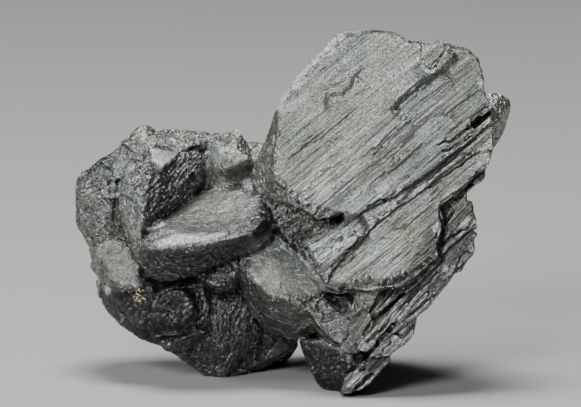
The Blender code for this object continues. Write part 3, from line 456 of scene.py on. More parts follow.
# Where one crystal passes into the next without an edge: x and y outline.
MELTED = [
    [(19.6, 19.2), (20.2, 17.4), (22.2, 18.6), (25.0, 17.6), (26.2, 19.6), (24.0, 21.2), (18.0, 22.4),
     (14.9, 23.2), (15.6, 21.4)],
    [(8.8, 24.0), (12.6, 23.2), (15.2, 28.8), (12.4, 30.2), (9.2, 27.4)],
    [(15.2, 28.6), (19.8, 28.6), (19.8, 33.0), (15.0, 33.0)],
    [(20.2, 14.4), (23.0, 14.0), (25.2, 14.8), (25.4, 18.4), (23.0, 19.2), (20.4, 18.8)],
]

# Gaps partly filled with rubble: x and y outline, and the depth below the broad face they are filled to.
FILLED_GAPS = [
    ([(31.6, 28.4), (36.4, 28.4), (36.8, 31.6), (32.6, 31.8)], 4.6),
    ([(34.6, 34.0), (38.8, 33.2), (37.8, 36.8), (34.8, 37.2)], 4.5),
]
# What lies deeper than this below the broad face is no longer in a gap.
GAP_BOTTOM = 11.0

# Broken faces, each with the direction its hackly grain runs in, in degrees above the horizontal, and
# how strong the grain is.
BROKEN_FACES = [
    ([(6.5, 14.0), (11.4, 14.0), (11.4, 24.5), (6.5, 24.5)], 12.0, 0.7),
    ([(14.6, 15.5), (20.4, 14.2), (20.8, 18.8), (15.0, 23.0)], 52.0, 2.0),
    ([(13.5, 24.0), (27.4, 22.0), (27.4, 25.5), (14.5, 28.8)], 12.0, 0.8),
    ([(19.5, 27.5), (26.0, 27.5), (26.0, 38.5), (17.0, 38.5)], 74.0, 1.4),
    ([(24.0, 28.8), (33.5, 30.0), (33.5, 34.5), (24.0, 34.0)], -28.0, 1.0),
    ([(29.5, 34.0), (35.2, 34.0), (34.8, 40.0), (30.0, 40.0)], 24.0, 1.0),
    ([(12.8, 12.0), (20.8, 12.0), (20.0, 14.6), (13.0, 15.0)], 20.0, 1.0),
]

# Faces crossed by short cracks in two directions: x and y outline.
CRACKED_FACES = [
    [(11.0, 17.0), (14.8, 15.6), (14.8, 23.0), (14.0, 26.0), (12.6, 23.0)],
    [(7.2, 18.6), (10.8, 18.0), (10.8, 24.0), (8.0, 24.4)],
    [(28.4, 17.0), (32.6, 17.2), (33.4, 18.8), (31.6, 20.4), (28.8, 20.4)],
]

# Broken faces that are calmer than the rest: x and y outline.
CALM_FACES = [
    [(13.6, 24.7), (20.0, 25.0), (26.4, 21.6), (27.6, 22.5), (24.5, 25.3), (20.0, 28.4), (15.5, 28.8)],
    [(10.0, 29.4), (15.0, 28.8), (19.6, 28.6), (19.6, 33.0), (15.6, 34.6), (10.8, 32.8)],
    [(23.6, 28.0), (26.4, 29.4), (30.0, 30.6), (31.6, 33.4), (29.0, 34.6), (25.2, 33.0)],
    [(29.6, 33.6), (34.5, 35.3), (34.6, 40.0), (30.0, 40.0)],
    [(20.4, 28.6), (24.4, 28.6), (26.0, 33.0), (22.0, 36.0), (20.6, 33.0)],
]

# Curved shells around a middle in x, y and w: how far they reach, their spacing and their height.
SHELLS = [
    ((18.6, 29.2, 3.4), 4.4, 0.56, 0.03),
    ((20.4, 34.6, 3.0), 9.0, 0.62, 0.05),
    ((10.0, 30.4, 5.6), 4.4, 0.60, 0.05),
    ((24.6, 16.0, 9.4), 2.4, 0.50, 0.04),
    ((17.0, 20.0, 2.0), 10.0, 0.70, 0.04),
]

# Bumps and dents on the front: x, y, radius and height in millimetres.
BUMPS = [
    (38.2, 28.3, 0.6, 0.25), (39.2, 28.0, 0.5, 0.2), (37.4, 29.1, 0.5, 0.2), (36.6, 27.9, 0.6, 0.3),
    (40.3, 27.4, 0.5, 0.3), (35.4, 28.2, 0.5, 0.25), (33.8, 23.8, 0.6, 0.2), (35.2, 23.2, 0.5, 0.2),
    (34.4, 29.0, 0.8, -0.4), (33.0, 29.4, 0.7, -0.3), (19.3, 15.0, 0.7, -0.7),
    (9.2, 18.9, 0.9, -0.2), (16.0, 22.5, 0.7, 0.2), (8.0, 26.9, 0.9, 0.2), (17.3, 30.6, 1.9, -0.45),
    (27.9, 30.6, 0.9, -0.3), (12.0, 22.0, 0.9, 0.2), (13.4, 19.6, 0.9, 0.2), (21.2, 16.6, 1.4, 0.15),
]

# Faces given painted shade, darker where they lie in shadow, and how dark: x and y outline, share.
PAINTED_SHADE_FACES = [
    ([(22.6, 15.8), (24.6, 15.4), (25.4, 17.4), (24.0, 18.6), (22.8, 17.8)], 0.3),
    ([(14.2, 17.6), (16.4, 16.8), (18.6, 15.4), (20.3, 15.0), (20.6, 18.6), (19.0, 20.0), (16.4, 22.6),
      (14.2, 22.6)], 0.55),
    ([(13.8, 24.7), (15.8, 25.0), (20.0, 25.0), (23.5, 24.0), (26.4, 21.6), (27.6, 22.5), (24.5, 25.3),
      (20.0, 28.4), (15.5, 28.8), (13.8, 27.0)], 0.85),
    ([(9.6, 29.2), (15.0, 28.8), (20.5, 28.4), (20.6, 33.5), (16.5, 35.0), (10.6, 33.0)], 1.0),
    ([(44.0, 20.8), (47.8, 19.8), (47.8, 26.0), (44.2, 29.2), (40.2, 31.0), (38.4, 30.4)], 0.75),
    ([(8.2, 15.6), (11.2, 14.8), (11.0, 18.6), (8.4, 18.4)], 0.55),
    ([(44.6, 5.2), (47.8, 5.0), (48.8, 9.0), (46.0, 9.2), (44.6, 7.6)], 0.25),
    ([(42.4, 5.4), (43.6, 4.8), (45.4, 4.4), (44.6, 6.4), (43.0, 7.2)], 0.35),
    ([(19.8, 28.3), (24.2, 28.6), (26.8, 35.2), (22.5, 39.0), (16.5, 36.2), (18.8, 33.0)], 0.65),
    ([(23.6, 28.0), (26.4, 29.4), (30.0, 30.6), (31.6, 33.4), (29.0, 34.6), (25.2, 33.0)], 0.55),
    ([(29.6, 33.6), (34.5, 35.3), (34.6, 40.0), (30.0, 40.0)], 1.0),
    ([(34.2, 35.2), (39.4, 35.2), (39.2, 37.8), (34.4, 40.4)], 1.0),
    ([(37.2, 28.6), (43.6, 25.4), (44.2, 21.4), (45.4, 22.0), (43.8, 26.6), (38.4, 30.4)], 0.95),
    ([(46.6, 12.6), (47.3, 11.6), (48.9, 10.2), (49.2, 10.8), (48.2, 12.2), (47.3, 13.0)], 1.0),
    ([(28.8, 21.0), (31.0, 21.4), (34.6, 21.4), (34.4, 22.6), (30.6, 24.4), (29.2, 25.4), (27.0, 22.6)],
     0.5),
    ([(31.4, 28.9), (35.0, 28.7), (34.9, 31.2), (33.4, 30.8), (31.8, 30.0)], 0.8),
    ([(45.8, 18.0), (48.8, 16.6), (48.0, 19.8), (46.2, 20.4)], 0.6),
    ([(11.2, 18.0), (11.8, 21.0), (12.7, 24.0), (10.8, 24.2), (10.6, 21.4)], 0.8),
]

# Faces given painted light, brighter where they catch the light, and how much: x and y outline, share.
PAINTED_LIGHT_FACES = [
    ([(13.2, 13.6), (14.0, 12.2), (18.0, 12.4), (21.0, 13.6), (20.4, 15.0), (16.0, 15.0)], 1.0),
    ([(24.4, 24.2), (27.0, 23.4), (31.0, 26.4), (33.2, 29.4), (29.4, 29.4), (25.6, 28.0)], 1.0),
    ([(11.0, 16.6), (14.4, 16.0), (14.6, 20.0), (14.0, 24.4), (12.2, 23.0)], 0.35),
    ([(20.0, 14.2), (25.6, 14.0), (26.0, 19.0), (20.4, 18.6)], 0.28),
    ([(48.8, 9.0), (51.6, 9.4), (50.6, 14.4), (48.8, 15.0)], 0.85),
    ([(25.8, 12.6), (27.8, 11.6), (28.0, 19.4), (26.0, 19.6)], 0.45),
    ([(30.4, 24.4), (33.6, 22.9), (35.2, 22.5), (35.8, 23.6), (34.2, 25.0), (33.0, 26.6), (31.4, 25.6)],
     0.55),
    ([(33.2, 23.6), (34.4, 23.0), (35.7, 22.6), (35.9, 23.5), (34.6, 24.5), (33.4, 24.7)], 0.9),
    ([(36.4, 19.8), (39.0, 17.6), (40.2, 18.2), (37.6, 20.2)], 0.4),
    ([(29.0, 18.2), (32.0, 16.8), (33.2, 18.6), (31.4, 20.0), (29.2, 19.8)], 0.35),
]

# Patches with a brownish tarnish: x and y outline.
WARM_PATCHES = [
    [(45.0, 7.6), (47.6, 5.4), (48.4, 7.8), (46.4, 8.6)],
    [(26.0, 11.0), (27.8, 11.0), (27.6, 19.0), (25.8, 18.6)],
    [(9.4, 24.4), (12.4, 24.0), (13.0, 26.0), (10.6, 26.8)],
    [(40.0, 22.0), (43.0, 21.0), (43.4, 24.0), (40.6, 25.6)],
    [(35.2, 35.6), (36.6, 35.8), (36.2, 37.4), (35.0, 37.4)],
]

# Flat facets: x and y outline, how flat they are, and how far they stand out in millimetres.
FLAT_FACETS = [
    ([(14.9, 14.8), (18.0, 15.2), (17.2, 16.0), (16.1, 16.9), (15.1, 16.3)], 0.95, 0.16),
    ([(8.0, 18.4), (10.7, 18.0), (10.9, 20.6), (11.3, 23.6), (9.6, 24.2), (8.2, 22.4)], 0.45, 0.0),
    ([(11.4, 18.4), (12.6, 17.6), (14.4, 21.0), (14.4, 23.6), (13.2, 25.4), (12.0, 22.6)], 0.5, 0.05),
    ([(10.8, 16.6), (12.2, 15.2), (13.6, 15.4), (13.2, 17.2), (11.6, 18.0)], 0.5, 0.06),
]

# Patches of painted glints, white where the stone catches the light: x and y outline.
PAINTED_GLINT_PATCHES = [
    [(28.0, 9.4), (28.8, 7.8), (30.0, 6.6), (30.7, 6.9), (30.3, 7.8), (29.9, 8.7), (29.0, 9.1),
     (28.5, 9.6)],
    [(27.2, 10.8), (28.2, 9.0), (28.8, 9.6), (27.9, 11.1)],
    [(30.3, 6.7), (32.0, 4.7), (32.5, 5.2), (30.7, 7.3)],
    [(32.0, 5.0), (33.2, 3.8), (34.2, 3.2), (34.6, 3.7), (33.3, 4.7), (33.5, 5.0), (32.5, 5.3)],
    [(47.6, 16.1), (48.3, 15.1), (48.9, 15.2), (48.7, 16.3), (47.9, 16.7)],
    [(48.0, 8.0), (48.5, 8.0), (48.4, 8.6), (47.8, 8.3)],
    [(45.9, 22.6), (46.4, 22.1), (46.9, 21.5), (46.9, 22.0), (46.3, 22.9)],
    [(43.3, 23.1), (43.6, 22.3), (44.0, 22.3), (43.8, 23.0)],
    [(15.0, 15.9), (15.4, 15.6), (16.3, 16.6), (16.1, 16.9), (15.6, 16.6)],
    [(14.8, 14.4), (15.1, 14.7), (15.6, 15.9), (15.1, 15.4)],
    [(15.0, 22.9), (16.2, 22.2), (16.6, 22.4), (15.6, 22.9)],
    [(15.6, 24.4), (17.4, 23.4), (20.2, 23.6), (22.4, 23.2), (22.3, 23.5), (19.8, 24.2), (16.2, 24.6)],
    [(24.6, 26.8), (25.0, 26.9), (26.2, 28.2), (25.8, 28.4)],
    [(34.6, 38.5), (36.0, 37.2), (36.1, 37.4), (34.8, 38.7)],
    [(44.2, 26.6), (44.7, 26.6), (44.6, 27.2), (44.2, 27.0)],
    [(10.3, 28.7), (10.6, 28.6), (10.7, 29.5), (10.4, 29.5)],
    [(24.2, 18.0), (25.0, 17.8), (25.0, 18.6), (24.4, 18.8)],
]


def on_front(points, normals):
    """1 on surfaces turned to the front and not deep in the cluster, 0 elsewhere."""
    return ease(-normals[:, 2], -0.3, 0.1) * (1.0 - ease(points[:, 2], *FRONT_ZONE))


def highest_share(points, faces, soft):
    """The greatest share that any of the faces, each an outline and a share, gives each point."""
    return np.maximum.reduce([share * within(points, outline, soft) for outline, share in faces])


def covered(points, outlines, soft):
    """1 inside any of the outlines and 0 outside them all."""
    return np.maximum.reduce([within(points, outline, soft) for outline in outlines])


def surface_masks(points, normals):
    """Named shares from 0 to 1 at each point: which kind of surface it is."""
    facing = normals @ FACE_NORMAL
    sink = depth_below_face(points)
    near_face = 1.0 - ease(sink, *FACE_ZONE)
    front = ease(facing, 0.55, 0.85) * near_face
    broken = within(points, BROKEN_CORNER, 0.6) * near_face
    plate = within(points, TABULAR, 0.6) * front * (1.0 - broken)
    layered = within(points, LAYERS, 0.6) * ease(facing, -0.2, 0.4) * (1.0 - ease(sink, *LAYER_ZONE))
    crystal = ease(points[:, 0], *CRYSTAL_START) * (1.0 - ease(sink, *CRYSTAL_ZONE))
    side = crystal * (1.0 - ease(facing, 0.5, 0.8)) * (1.0 - layered)
    smooth = np.maximum.reduce([
        share * within(points, outline, soft) * ease(-normals[:, axis], *squareness)
        for outline, share, soft, axis, squareness in SMOOTH_FACES])
    fracture = np.clip(1.0 - plate - layered - side - smooth, 0.0, 1.0)
    return {"plate": plate, "layered": layered, "side": side, "smooth": smooth, "fracture": fracture,
            "broken": broken}


def ledge_drop(points, edge, drop, riser, fade):
    """How far one ledge lets the broad face drop, in millimetres."""
    far_side = [
        (end[0] + right, end[1] + down)
        for end, (right, down) in zip((edge[-1], edge[0]), LEDGE_BELOW)]
    distance, passed = along_line(points, edge)
    ends = ease(passed, 0.0, 0.15) * (1.0 - ease(passed, 0.8, 1.0))
    return drop * ends * within(points, edge + far_side, riser) * (1.0 - ease(distance, 0.2 * fade, fade))


def levelled(points, edges):
    """The broad face's highest level laid on its plane, with the ledges that step down on it, and the
    block at its lower left laid on a plane of its own."""
    for outline, depth, soft in LEVELS:
        inner = np.minimum(within(points, outline, soft), within(points, TABULAR, 0.6))
        share = inner * (1.0 - ease(depth_below_face(points), *LEVEL_ZONE))
        here = share > 0.0
        for rounds in LEVEL_ROUNDS:
            sink = depth_below_face(points[here])
            ragged = warped(points[here], 0.10, 0.6, 27)
            wanted = depth + sum(ledge_drop(ragged, *ledge) for ledge in LEDGES)
            points = points.copy()
            points[here] += FACE_NORMAL * (share[here] * (sink * -FACE_NORMAL[2] - wanted))[:, None]
            points = melted(points, edges, 0.5 * share, rounds)
    return points


def growth_strength(points):
    """How strong the growth lines are on the broad face: faint in its upper part, except along its left
    edge, and stronger towards the lower right."""
    place = points @ line_axes(FACE_LINES).T
    place[:, 2] = 0.0
    lower = ease(points @ TO_LOWER_RIGHT, *STRONGER_LINES)
    upper_left = 0.45 * (1.0 - ease(points @ FROM_UPPER_LEFT, *LEFT_EDGE_LINES))
    return 0.25 + 0.75 * lower + upper_left + 0.35 * waves(place, (9.0, 4.0, 9.0), 3)


def growth_relief(points):
    """Relief of the broad face: low treads along the growth lines, with fine lines and short strokes."""
    place = points @ line_axes(FACE_LINES).T
    place[:, 2] = 0.0
    levels = 1.5 * waves(place, (22.0, 2.4, 9.0), 11) + 1.2 * waves(place, (13.0, 0.9, 9.0), 12)
    lines = waves(place, (12.0, 0.34, 9.0), 13) + 0.8 * waves(place, (6.0, 0.22, 9.0), 14)
    patches = ease(waves(place, (3.5, 1.4, 9.0), 17), 0.1, 0.3)
    strokes = fissures(place, (4.5, 0.5, 9.0), 15, 0.07) * patches
    height = 0.04 * steps(levels, 0.12) + 0.03 * lines - 0.06 * strokes
    return growth_strength(points) * height + 0.009 * waves(points, 0.32, 16)


def layer_relief(points):
    """Relief of the lower layers: straight treads and fine lines along steeper growth lines, cut across
    in places."""
    place = points @ line_axes(LAYER_LINES).T
    place[:, 2] *= 0.35
    lines = ridged(place, (14.0, 0.5, 1.4), 21) + 0.7 * waves(place, (9.0, 0.28, 0.9), 22)
    treads = steps(2.2 * waves(place, (16.0, 1.3, 2.0), 23) + 0.8 * waves(place, (3.4, 1.4, 2.0), 24), 0.12)
    return 0.035 * lines + 0.12 * treads


def side_relief(points):
    """Relief of the crystal's sides: thin plates seen from their edges, pitted and chipped."""
    place = points @ line_axes(FACE_LINES).T
    leaves = steps(2.4 * waves(place, (6.0, 6.0, 1.0), 31), 0.2) + 0.5 * waves(place, (4.0, 4.0, 0.4), 32)
    bent = warped(points, 0.5, 1.5, 33)
    chip = tilted_cells(bent, 1.3, 38)
    return 0.06 * leaves + 0.05 * ridged(bent, 1.2, 36) + 0.10 * chip


def hackly_grain(points):
    """Ragged streaks on each broken face, in the direction that the face tore."""
    relief = np.zeros(len(points))
    for number, (outline, degrees, strength) in enumerate(BROKEN_FACES):
        chosen = strength * within(points, outline, 1.0)
        here = chosen > 0.0
        place = turned(warped(points[here], 0.5, 2.5, 51), degrees)
        coarse = ridged(place, (2.6, 0.55, 1.2), 52 + number)
        fine = ridged(place, (1.3, 0.3, 0.7), 62 + number)
        relief[here] += chosen[here] * (coarse + 0.6 * fine)
    return relief


def cross_cracks(points):
    """Short cracks in two directions on the faces that have them."""
    chosen = covered(points, CRACKED_FACES, 0.8)
    depth = np.zeros(len(points))
    here = chosen > 0.0
    bent = warped(points[here], 0.25, 1.2, 91)
    up, down = turned(bent, 42.0), turned(bent, -52.0)
    cracks = np.maximum(fissures(up, (2.2, 0.8, 1.5), 94, 0.10), fissures(down, (1.8, 0.7, 1.5), 95, 0.10))
    depth[here] = chosen[here] * cracks
    return depth


def shell_relief(points):
    """Curved lines left by shell-like fracture, spreading from a few middles."""
    relief = np.zeros(len(points))
    for number, (middle, reach, spacing, height) in enumerate(SHELLS):
        away = points - middle
        distance = np.linalg.norm(away, axis=1)
        here = distance < reach
        turns = (distance[here] + 0.6 * waves(points[here], 1.6, 81 + number)) / spacing
        saw = turns - np.floor(turns)
        relief[here] += height * (saw - 0.5) * (1.0 - ease(distance[here], 0.7 * reach, reach))
    return relief


def fracture_relief(points):
    """Relief of broken stone: low flat chips, terraces, shells, and a hackly grain down to the finest."""
    bent = warped(points, 0.6, 2.0, 41)
    block = tilted_cells(bent, 2.8, 44)
    bent = warped(points, 0.25, 0.8, 35)
    chip = tilted_cells(bent, 1.2, 56)
    splinter = tilted_cells(bent, 0.6, 57)
    terraces = steps(2.0 * waves(bent, 3.2, 46) + 0.8 * waves(points, 0.9, 47), 0.25)
    chips = (0.24 * block + 0.13 * chip + 0.06 * splinter) * (1.0 - 0.6 * covered(points, CALM_FACES, 1.0))
    height = chips + 0.05 * terraces + 0.035 * hackly_grain(points) + shell_relief(points)
    return height - 0.16 * cross_cracks(points)


def broken_corner_relief(points):
    """Relief where the crystal's corner broke away: small blocks along the growth lines."""
    place = warped(points, 0.2, 1.0, 60) @ line_axes(FACE_LINES).T
    block = tilted_cells(place, (1.9, 0.7, 0.6), 63)
    return 0.16 * block + 0.05 * ridged(place, (1.4, 0.4, 0.4), 65) + 0.04 * ridged(points, 0.5, 66)


def smooth_relief(points):
    """Relief of the smoother faces: a slight swell and a fine grain."""
    chip = tilted_cells(warped(points, 0.3, 0.9, 75), 0.8, 76)
    return 0.07 * waves(points, 2.2, 71) + 0.03 * waves(points, 0.9, 72) + 0.05 * chip


def bumps(points, normals):
    """Heights of the placed bumps and dents on surfaces turned to the front."""
    height = np.zeros(len(points))
    front = ease(-normals[:, 2], -0.1, 0.3)
    for x, y, radius, rise in BUMPS:
        away = np.hypot(points[:, 0] - x, points[:, 1] - y) / radius
        height += rise * front * (1.0 - ease(away, 0.0, 1.0))
    return height


def shelf_dish(points, normals):
    """The shelf's top is a shallow dish that rises towards the crystals behind it."""
    away = np.hypot(*((points[:, :2] - DISH_MIDDLE) / DISH_HALF_SIZE).T)
    return -DISH_DEPTH * (1.0 - ease(away, 0.1, 1.0)) * ease(-normals[:, 1], 0.3, 0.7)


def painted_glint_share(points, normals):
    """1 on the front's patches of painted glints and 0 elsewhere."""
    return on_front(points, normals) * covered(points, PAINTED_GLINT_PATCHES, 0.2)


def splintered(points, share):
    """Relief of the painted glint patches: small chips tilted all ways, so that some of them catch the
    light.
    """
    height = np.zeros(len(points))
    here = share > 0.0
    chip = tilted_cells(points[here], 0.45, 77)
    height[here] = 0.16 * share[here] * chip
    return height


RELIEFS = {
    "plate": growth_relief, "layered": layer_relief, "side": side_relief, "fracture": fracture_relief,
    "broken": broken_corner_relief, "smooth": smooth_relief,
}


def relief(points, normals, mask):
    """How far each point moves out along its normal, in millimetres."""
    height = bumps(points, normals) + shelf_dish(points, normals)
    height += splintered(points, painted_glint_share(points, normals))
    for name, relief_of in RELIEFS.items():
        here = mask[name] > 0.01
        height[here] += mask[name][here] * relief_of(points[here])
    return height


def melted(points, edges, share, rounds):
    """Points drawn by their share to their neighbours' mean in each round, only where it is above 0."""
    close_edges = edges[(share[edges] > 0.0).any(axis=1)]
    used, numbers = np.unique(close_edges, return_inverse=True)
    part = softened(points[used], numbers.reshape(-1, 2), rounds, share[used][:, None])
    points = points.copy()
    points[used] = part
    return points


def softened(points, edges, rounds, share):
    """Points moved a share of the way to their neighbours' mean in each round."""
    for _ in range(rounds):
        points = points + (neighbour_means(points, edges) - points) * share
    return points


def flattened(points, normals):
    """The flat facets drawn towards the plane that fits each of them, with some of their relief left."""
    points = points.copy()
    for outline, flatness, rise in FLAT_FACETS:
        share = within(points, outline, 0.25) * ease(-normals[:, 2], 0.0, 0.3)
        inside = points[share > 0.5]
        middle = inside.mean(axis=0)
        outward = np.linalg.eigh(np.cov((inside - middle).T))[1][:, 0]
        outward *= -np.sign(outward[2])
        away = (points - middle) @ outward
        share *= flatness * (1.0 - ease(np.abs(away), 0.8, 1.2))
        points += outward * (share * (rise - away))[:, None]
    return points


def drawn_lines(points, normals):
    """Height of the placed grooves and ridges at each point."""
    height = np.zeros(len(points))
    front = ease(-normals[:, 2], 0.0, 0.3)
    for line, width, depth in DRAWN_LINES:
        corners = np.array(line)
        close = points[:, :2] - np.clip(points[:, :2], corners.min(axis=0), corners.max(axis=0))
        here = np.nonzero((np.abs(close).max(axis=1) < 1.5 * width) & (front > 0.0))[0]
        distance, passed = along_line(warped(points[here], 0.12, 0.8, 101), line)
        profile = 1.0 - ease(distance, 0.1 * width, 0.6 * width)
        profile *= front[here] * ease(passed, 0.0, 0.12) * (1.0 - ease(passed, 0.88, 1.0))
        rise = -depth * profile
        height[here] = np.where(np.abs(rise) > np.abs(height[here]), rise, height[here])
    return height


def kept_in_box(points):
    """Frame millimetres, held inside the solids' box."""
    low, high = (np.array(corner) / MM for corner in CAD_BOX)
    return np.clip(points, low, high)


def filled(points, normals):
    """The gaps filled to their depths with a little rubble."""
    sink = depth_below_face(points)
    front = ease(-normals[:, 2], -0.6, -0.3) * (1.0 - ease(sink, GAP_BOTTOM, GAP_BOTTOM + 0.5))
    for outline, depth in FILLED_GAPS:
        over = np.maximum(sink - depth, 0.0) * 0.85 * within(points, outline, 0.8) * front
        points = points + FACE_NORMAL * (over * -FACE_NORMAL[2])[:, None]
    return points


def finished_surface(node):
    """A CAD node's solid with its relief and marks, thinned and held inside the solids' box."""
    mesh = fine_skin(node)
    edges = edges_of(mesh)
    points, normals = to_grid(points_of(mesh)), normals_of(mesh)
    mask = surface_masks(points, normals)
    joints = covered(points, MELTED, 1.2)
    joints *= ease(-normals[:, 2], -0.3, 0.2) * (1.0 - ease(points[:, 2], *JOINT_ZONE))
    points = melted(filled(points, normals), edges, 0.6 * joints, JOINT_ROUNDS)
    points = softened(points, edges, SKIN_ROUNDS, (0.2 + 0.2 * mask["fracture"])[:, None])
    points = levelled(points, edges)
    set_points(mesh, to_frame(points))
    normals = normals_of(mesh)
    lines = drawn_lines(points, normals)
    points += normals * (relief(points, normals, mask) + lines)[:, None]
    points = flattened(points, normals)
    set_points(mesh, kept_in_box(to_frame(points)))
    store_marks(mesh, edges, mask, lines)
    behind = ease(normals[:, 2], 0.1, 0.5) * ease(points[:, 2], 3.0, 8.0)
    mesh = thinned(mesh, SURFACE_TRIANGLES, behind)
    set_points(mesh, kept_in_box(points_of(mesh)) * MM)
    return linked("andorite_surface", mesh)


def store_marks(mesh, edges, mask, lines):
    """Point attributes for the finish: the kinds of surface, raised edges that are partly worn and partly
    painted highlights, painted shade in hollows and on shaded faces, painted light and painted glints.
    """
    points, normals = to_grid(points_of(mesh)), normals_of(mesh)
    level = 1.0 - 0.6 * mask["plate"]
    fine = ((points - softened(points, edges, FINE_ROUNDS, 0.5)) * normals).sum(axis=1)
    wide = ((points - softened(points, edges, WIDE_ROUNDS, 0.6)) * normals).sum(axis=1)
    front = on_front(points, normals)
    downward = -(normals @ TURN)[:, 2]
    # Painted shade: faces that lie in shadow, and surfaces turned downward, are darkened.
    painted_shade = front * highest_share(points, PAINTED_SHADE_FACES, 0.9)
    # Painted shade in creases and hollows, darker the deeper they sink.
    hollow = np.maximum(0.85 * ease(-fine, 0.012, 0.06), 0.8 * ease(-wide, 0.06, 0.30))
    marks = {
        "grown": np.maximum(mask["plate"], 0.6 * mask["layered"]),
        "layered": mask["layered"],
        "smooth": mask["smooth"],
        "warm": 0.6 * front * covered(points, WARM_PATCHES, 1.8),
        "lined": np.clip(growth_strength(points), 0.0, 1.0),
        # Painted glints on their patches, and painted highlights along the raised ridges.
        "fresh": np.maximum(painted_glint_share(points, normals), 0.35 * ease(lines, 0.03, 0.10)),
        "painted_shade": np.maximum(painted_shade, 0.6 * ease(downward, -0.1, 0.7)),
        # Painted light on faces that catch the light.
        "painted_light": front * highest_share(points, PAINTED_LIGHT_FACES, 0.6),
        # Raised edges: partly wear, partly painted highlights.
        "edge_wear_and_highlight": np.maximum(ease(fine, 0.006, 0.045), 0.7 * ease(wide, 0.06, 0.30)),
        # Painted shade in the hollows and along the drawn grooves, less of it on the broad face.
        "hollow": np.maximum(level * hollow, 0.5 * ease(-lines, 0.03, 0.18)),
    }
    for name, values in marks.items():
        mesh.attributes.new(name, "FLOAT", "POINT").data.foreach_set("value", values.astype(np.float32))


# Finishes

def colour(code):
    """An sRGB hex value as linear red, green, blue and full opacity."""
    shares = [int(code[i:i + 2], 16) / 255.0 for i in (1, 3, 5)]
    return tuple(c / 12.92 if c <= 0.04045 else ((c + 0.055) / 1.055) ** 2.4 for c in shares) + (1.0,)


def add_node(tree, kind, inputs=None, stops=(), **settings):
    """Adds one node. Inputs are values, or sockets to link, by the input's name or number. Stops are the
    places and hex colours of a colour ramp."""
    node = tree.nodes.new(kind)
    for name, value in settings.items():
        setattr(node, name, value)
    for name, value in (inputs or {}).items():
        if isinstance(value, bpy.types.NodeSocket):
            tree.links.new(value, node.inputs[name])
        else:
            node.inputs[name].default_value = value
    for number, (place, code) in enumerate(stops):
        elements = node.color_ramp.elements
        element = elements[number] if number < len(elements) else elements.new(place)
        element.position = place
        element.color = colour(code)
    return node


# The surface's marks that the andorite finish reads.
MARKS = ("grown", "layered", "smooth", "warm", "fresh", "painted_shade", "painted_light", "edge_wear_and_highlight", "hollow", "lined")

# Growth lines are 7 mm long and 0.2 mm wide, drawn a little coarser than the finest real ones. Broader
# streaks run along them. Sizes are along the lines, across them and into the stone, in millimetres.
LINE_SIZE = (7.0, 0.2, 0.6)
STREAK_SIZE = (12.0, 1.3, 4.0)

# Patches of tarnish, a mottle, a ragged grain and a fine one: each with its size in millimetres, the
# kind of noise and the noise's inputs.
NOISES = {
    "patches": (5.0, "FBM", {"Detail": 3.0}),
    "mottle": (0.7, "FBM", {"Detail": 5.0, "Roughness": 0.7}),
    "ragged": (0.5, "RIDGED_MULTIFRACTAL", {
        "Detail": 3.0, "Roughness": 0.6, "Lacunarity": 2.2, "Offset": 1.0, "Gain": 2.0}),
    "grain": (0.16, "FBM", {"Detail": 2.0}),
}

# Tones: the pattern that each one follows, and its stops.
TONES = {
    "broken": ("mottle", [(0.34, "#646765"), (0.5, "#878a87"), (0.66, "#a8aba7")]),
    "matte": ("line", [(0.32, "#787b77"), (0.5, "#898c88"), (0.68, "#999c98")]),
    "lined": ("line", [(0.32, "#6f726e"), (0.5, "#8e918d"), (0.68, "#acafab")]),
    "streaked": ("streaks", [(0.34, "#c4c8c4"), (0.5, "#e6e8e6"), (0.62, "#ffffff")]),
    "smooth": ("mottle", [(0.34, "#7b7e7b"), (0.5, "#868985"), (0.66, "#929591")]),
    "tarnish": ("patches", [(0.35, "#e2e9ea"), (0.5, "#ffffff"), (0.68, "#fff8ec")]),
    "specks": ("grain", [(0.36, "#9a9a9a"), (0.5, "#dcdcdc"), (0.62, "#ffffff")]),
}


def noise_along_lines(tree, place, angle, size, roughness):
    """Noise drawn out along growth lines at an angle."""
    axes = line_axes(angle) @ TURN
    drawn_out = add_node(tree, "ShaderNodeMapping", {
        "Vector": place, "Scale": [length * MM for length in size],
        "Rotation": Matrix([Vector(row) for row in axes]).transposed().to_euler(),
    }, vector_type="TEXTURE")
    noise = add_node(tree, "ShaderNodeTexNoise", {
        "Vector": drawn_out.outputs["Vector"], "Scale": 1.0, "Detail": 2.0, "Roughness": roughness})
    return noise.outputs["Fac"]


def andorite_patterns(tree, marks):
    """Growth lines, streaks along them and the noises, by name."""
    place = add_node(tree, "ShaderNodeTexCoord").outputs["Object"]
    patterns = {
        name: add_node(tree, "ShaderNodeTexNoise", {"Vector": place, "Scale": 1 / (size * MM), **inputs},
                       noise_type=kind).outputs["Fac"]
        for name, (size, kind, inputs) in NOISES.items()}
    patterns["streaks"] = noise_along_lines(tree, place, FACE_LINES, STREAK_SIZE, 0.5)
    patterns["line"] = add_node(tree, "ShaderNodeMix", {
        0: marks["layered"],
        2: noise_along_lines(tree, place, FACE_LINES, LINE_SIZE, 0.6),
        3: noise_along_lines(tree, place, LAYER_LINES, LINE_SIZE, 0.6)}).outputs[0]
    return patterns


def with_layers(tree, tone, layers):
    """A tone with others laid over it in turn: each its share, its colour and how it is blended."""
    for share, over, blend in layers:
        tone = add_node(tree, "ShaderNodeMix", {0: share, 6: tone, 7: over}, data_type="RGBA",
                        blend_type=blend).outputs[2]
    return tone


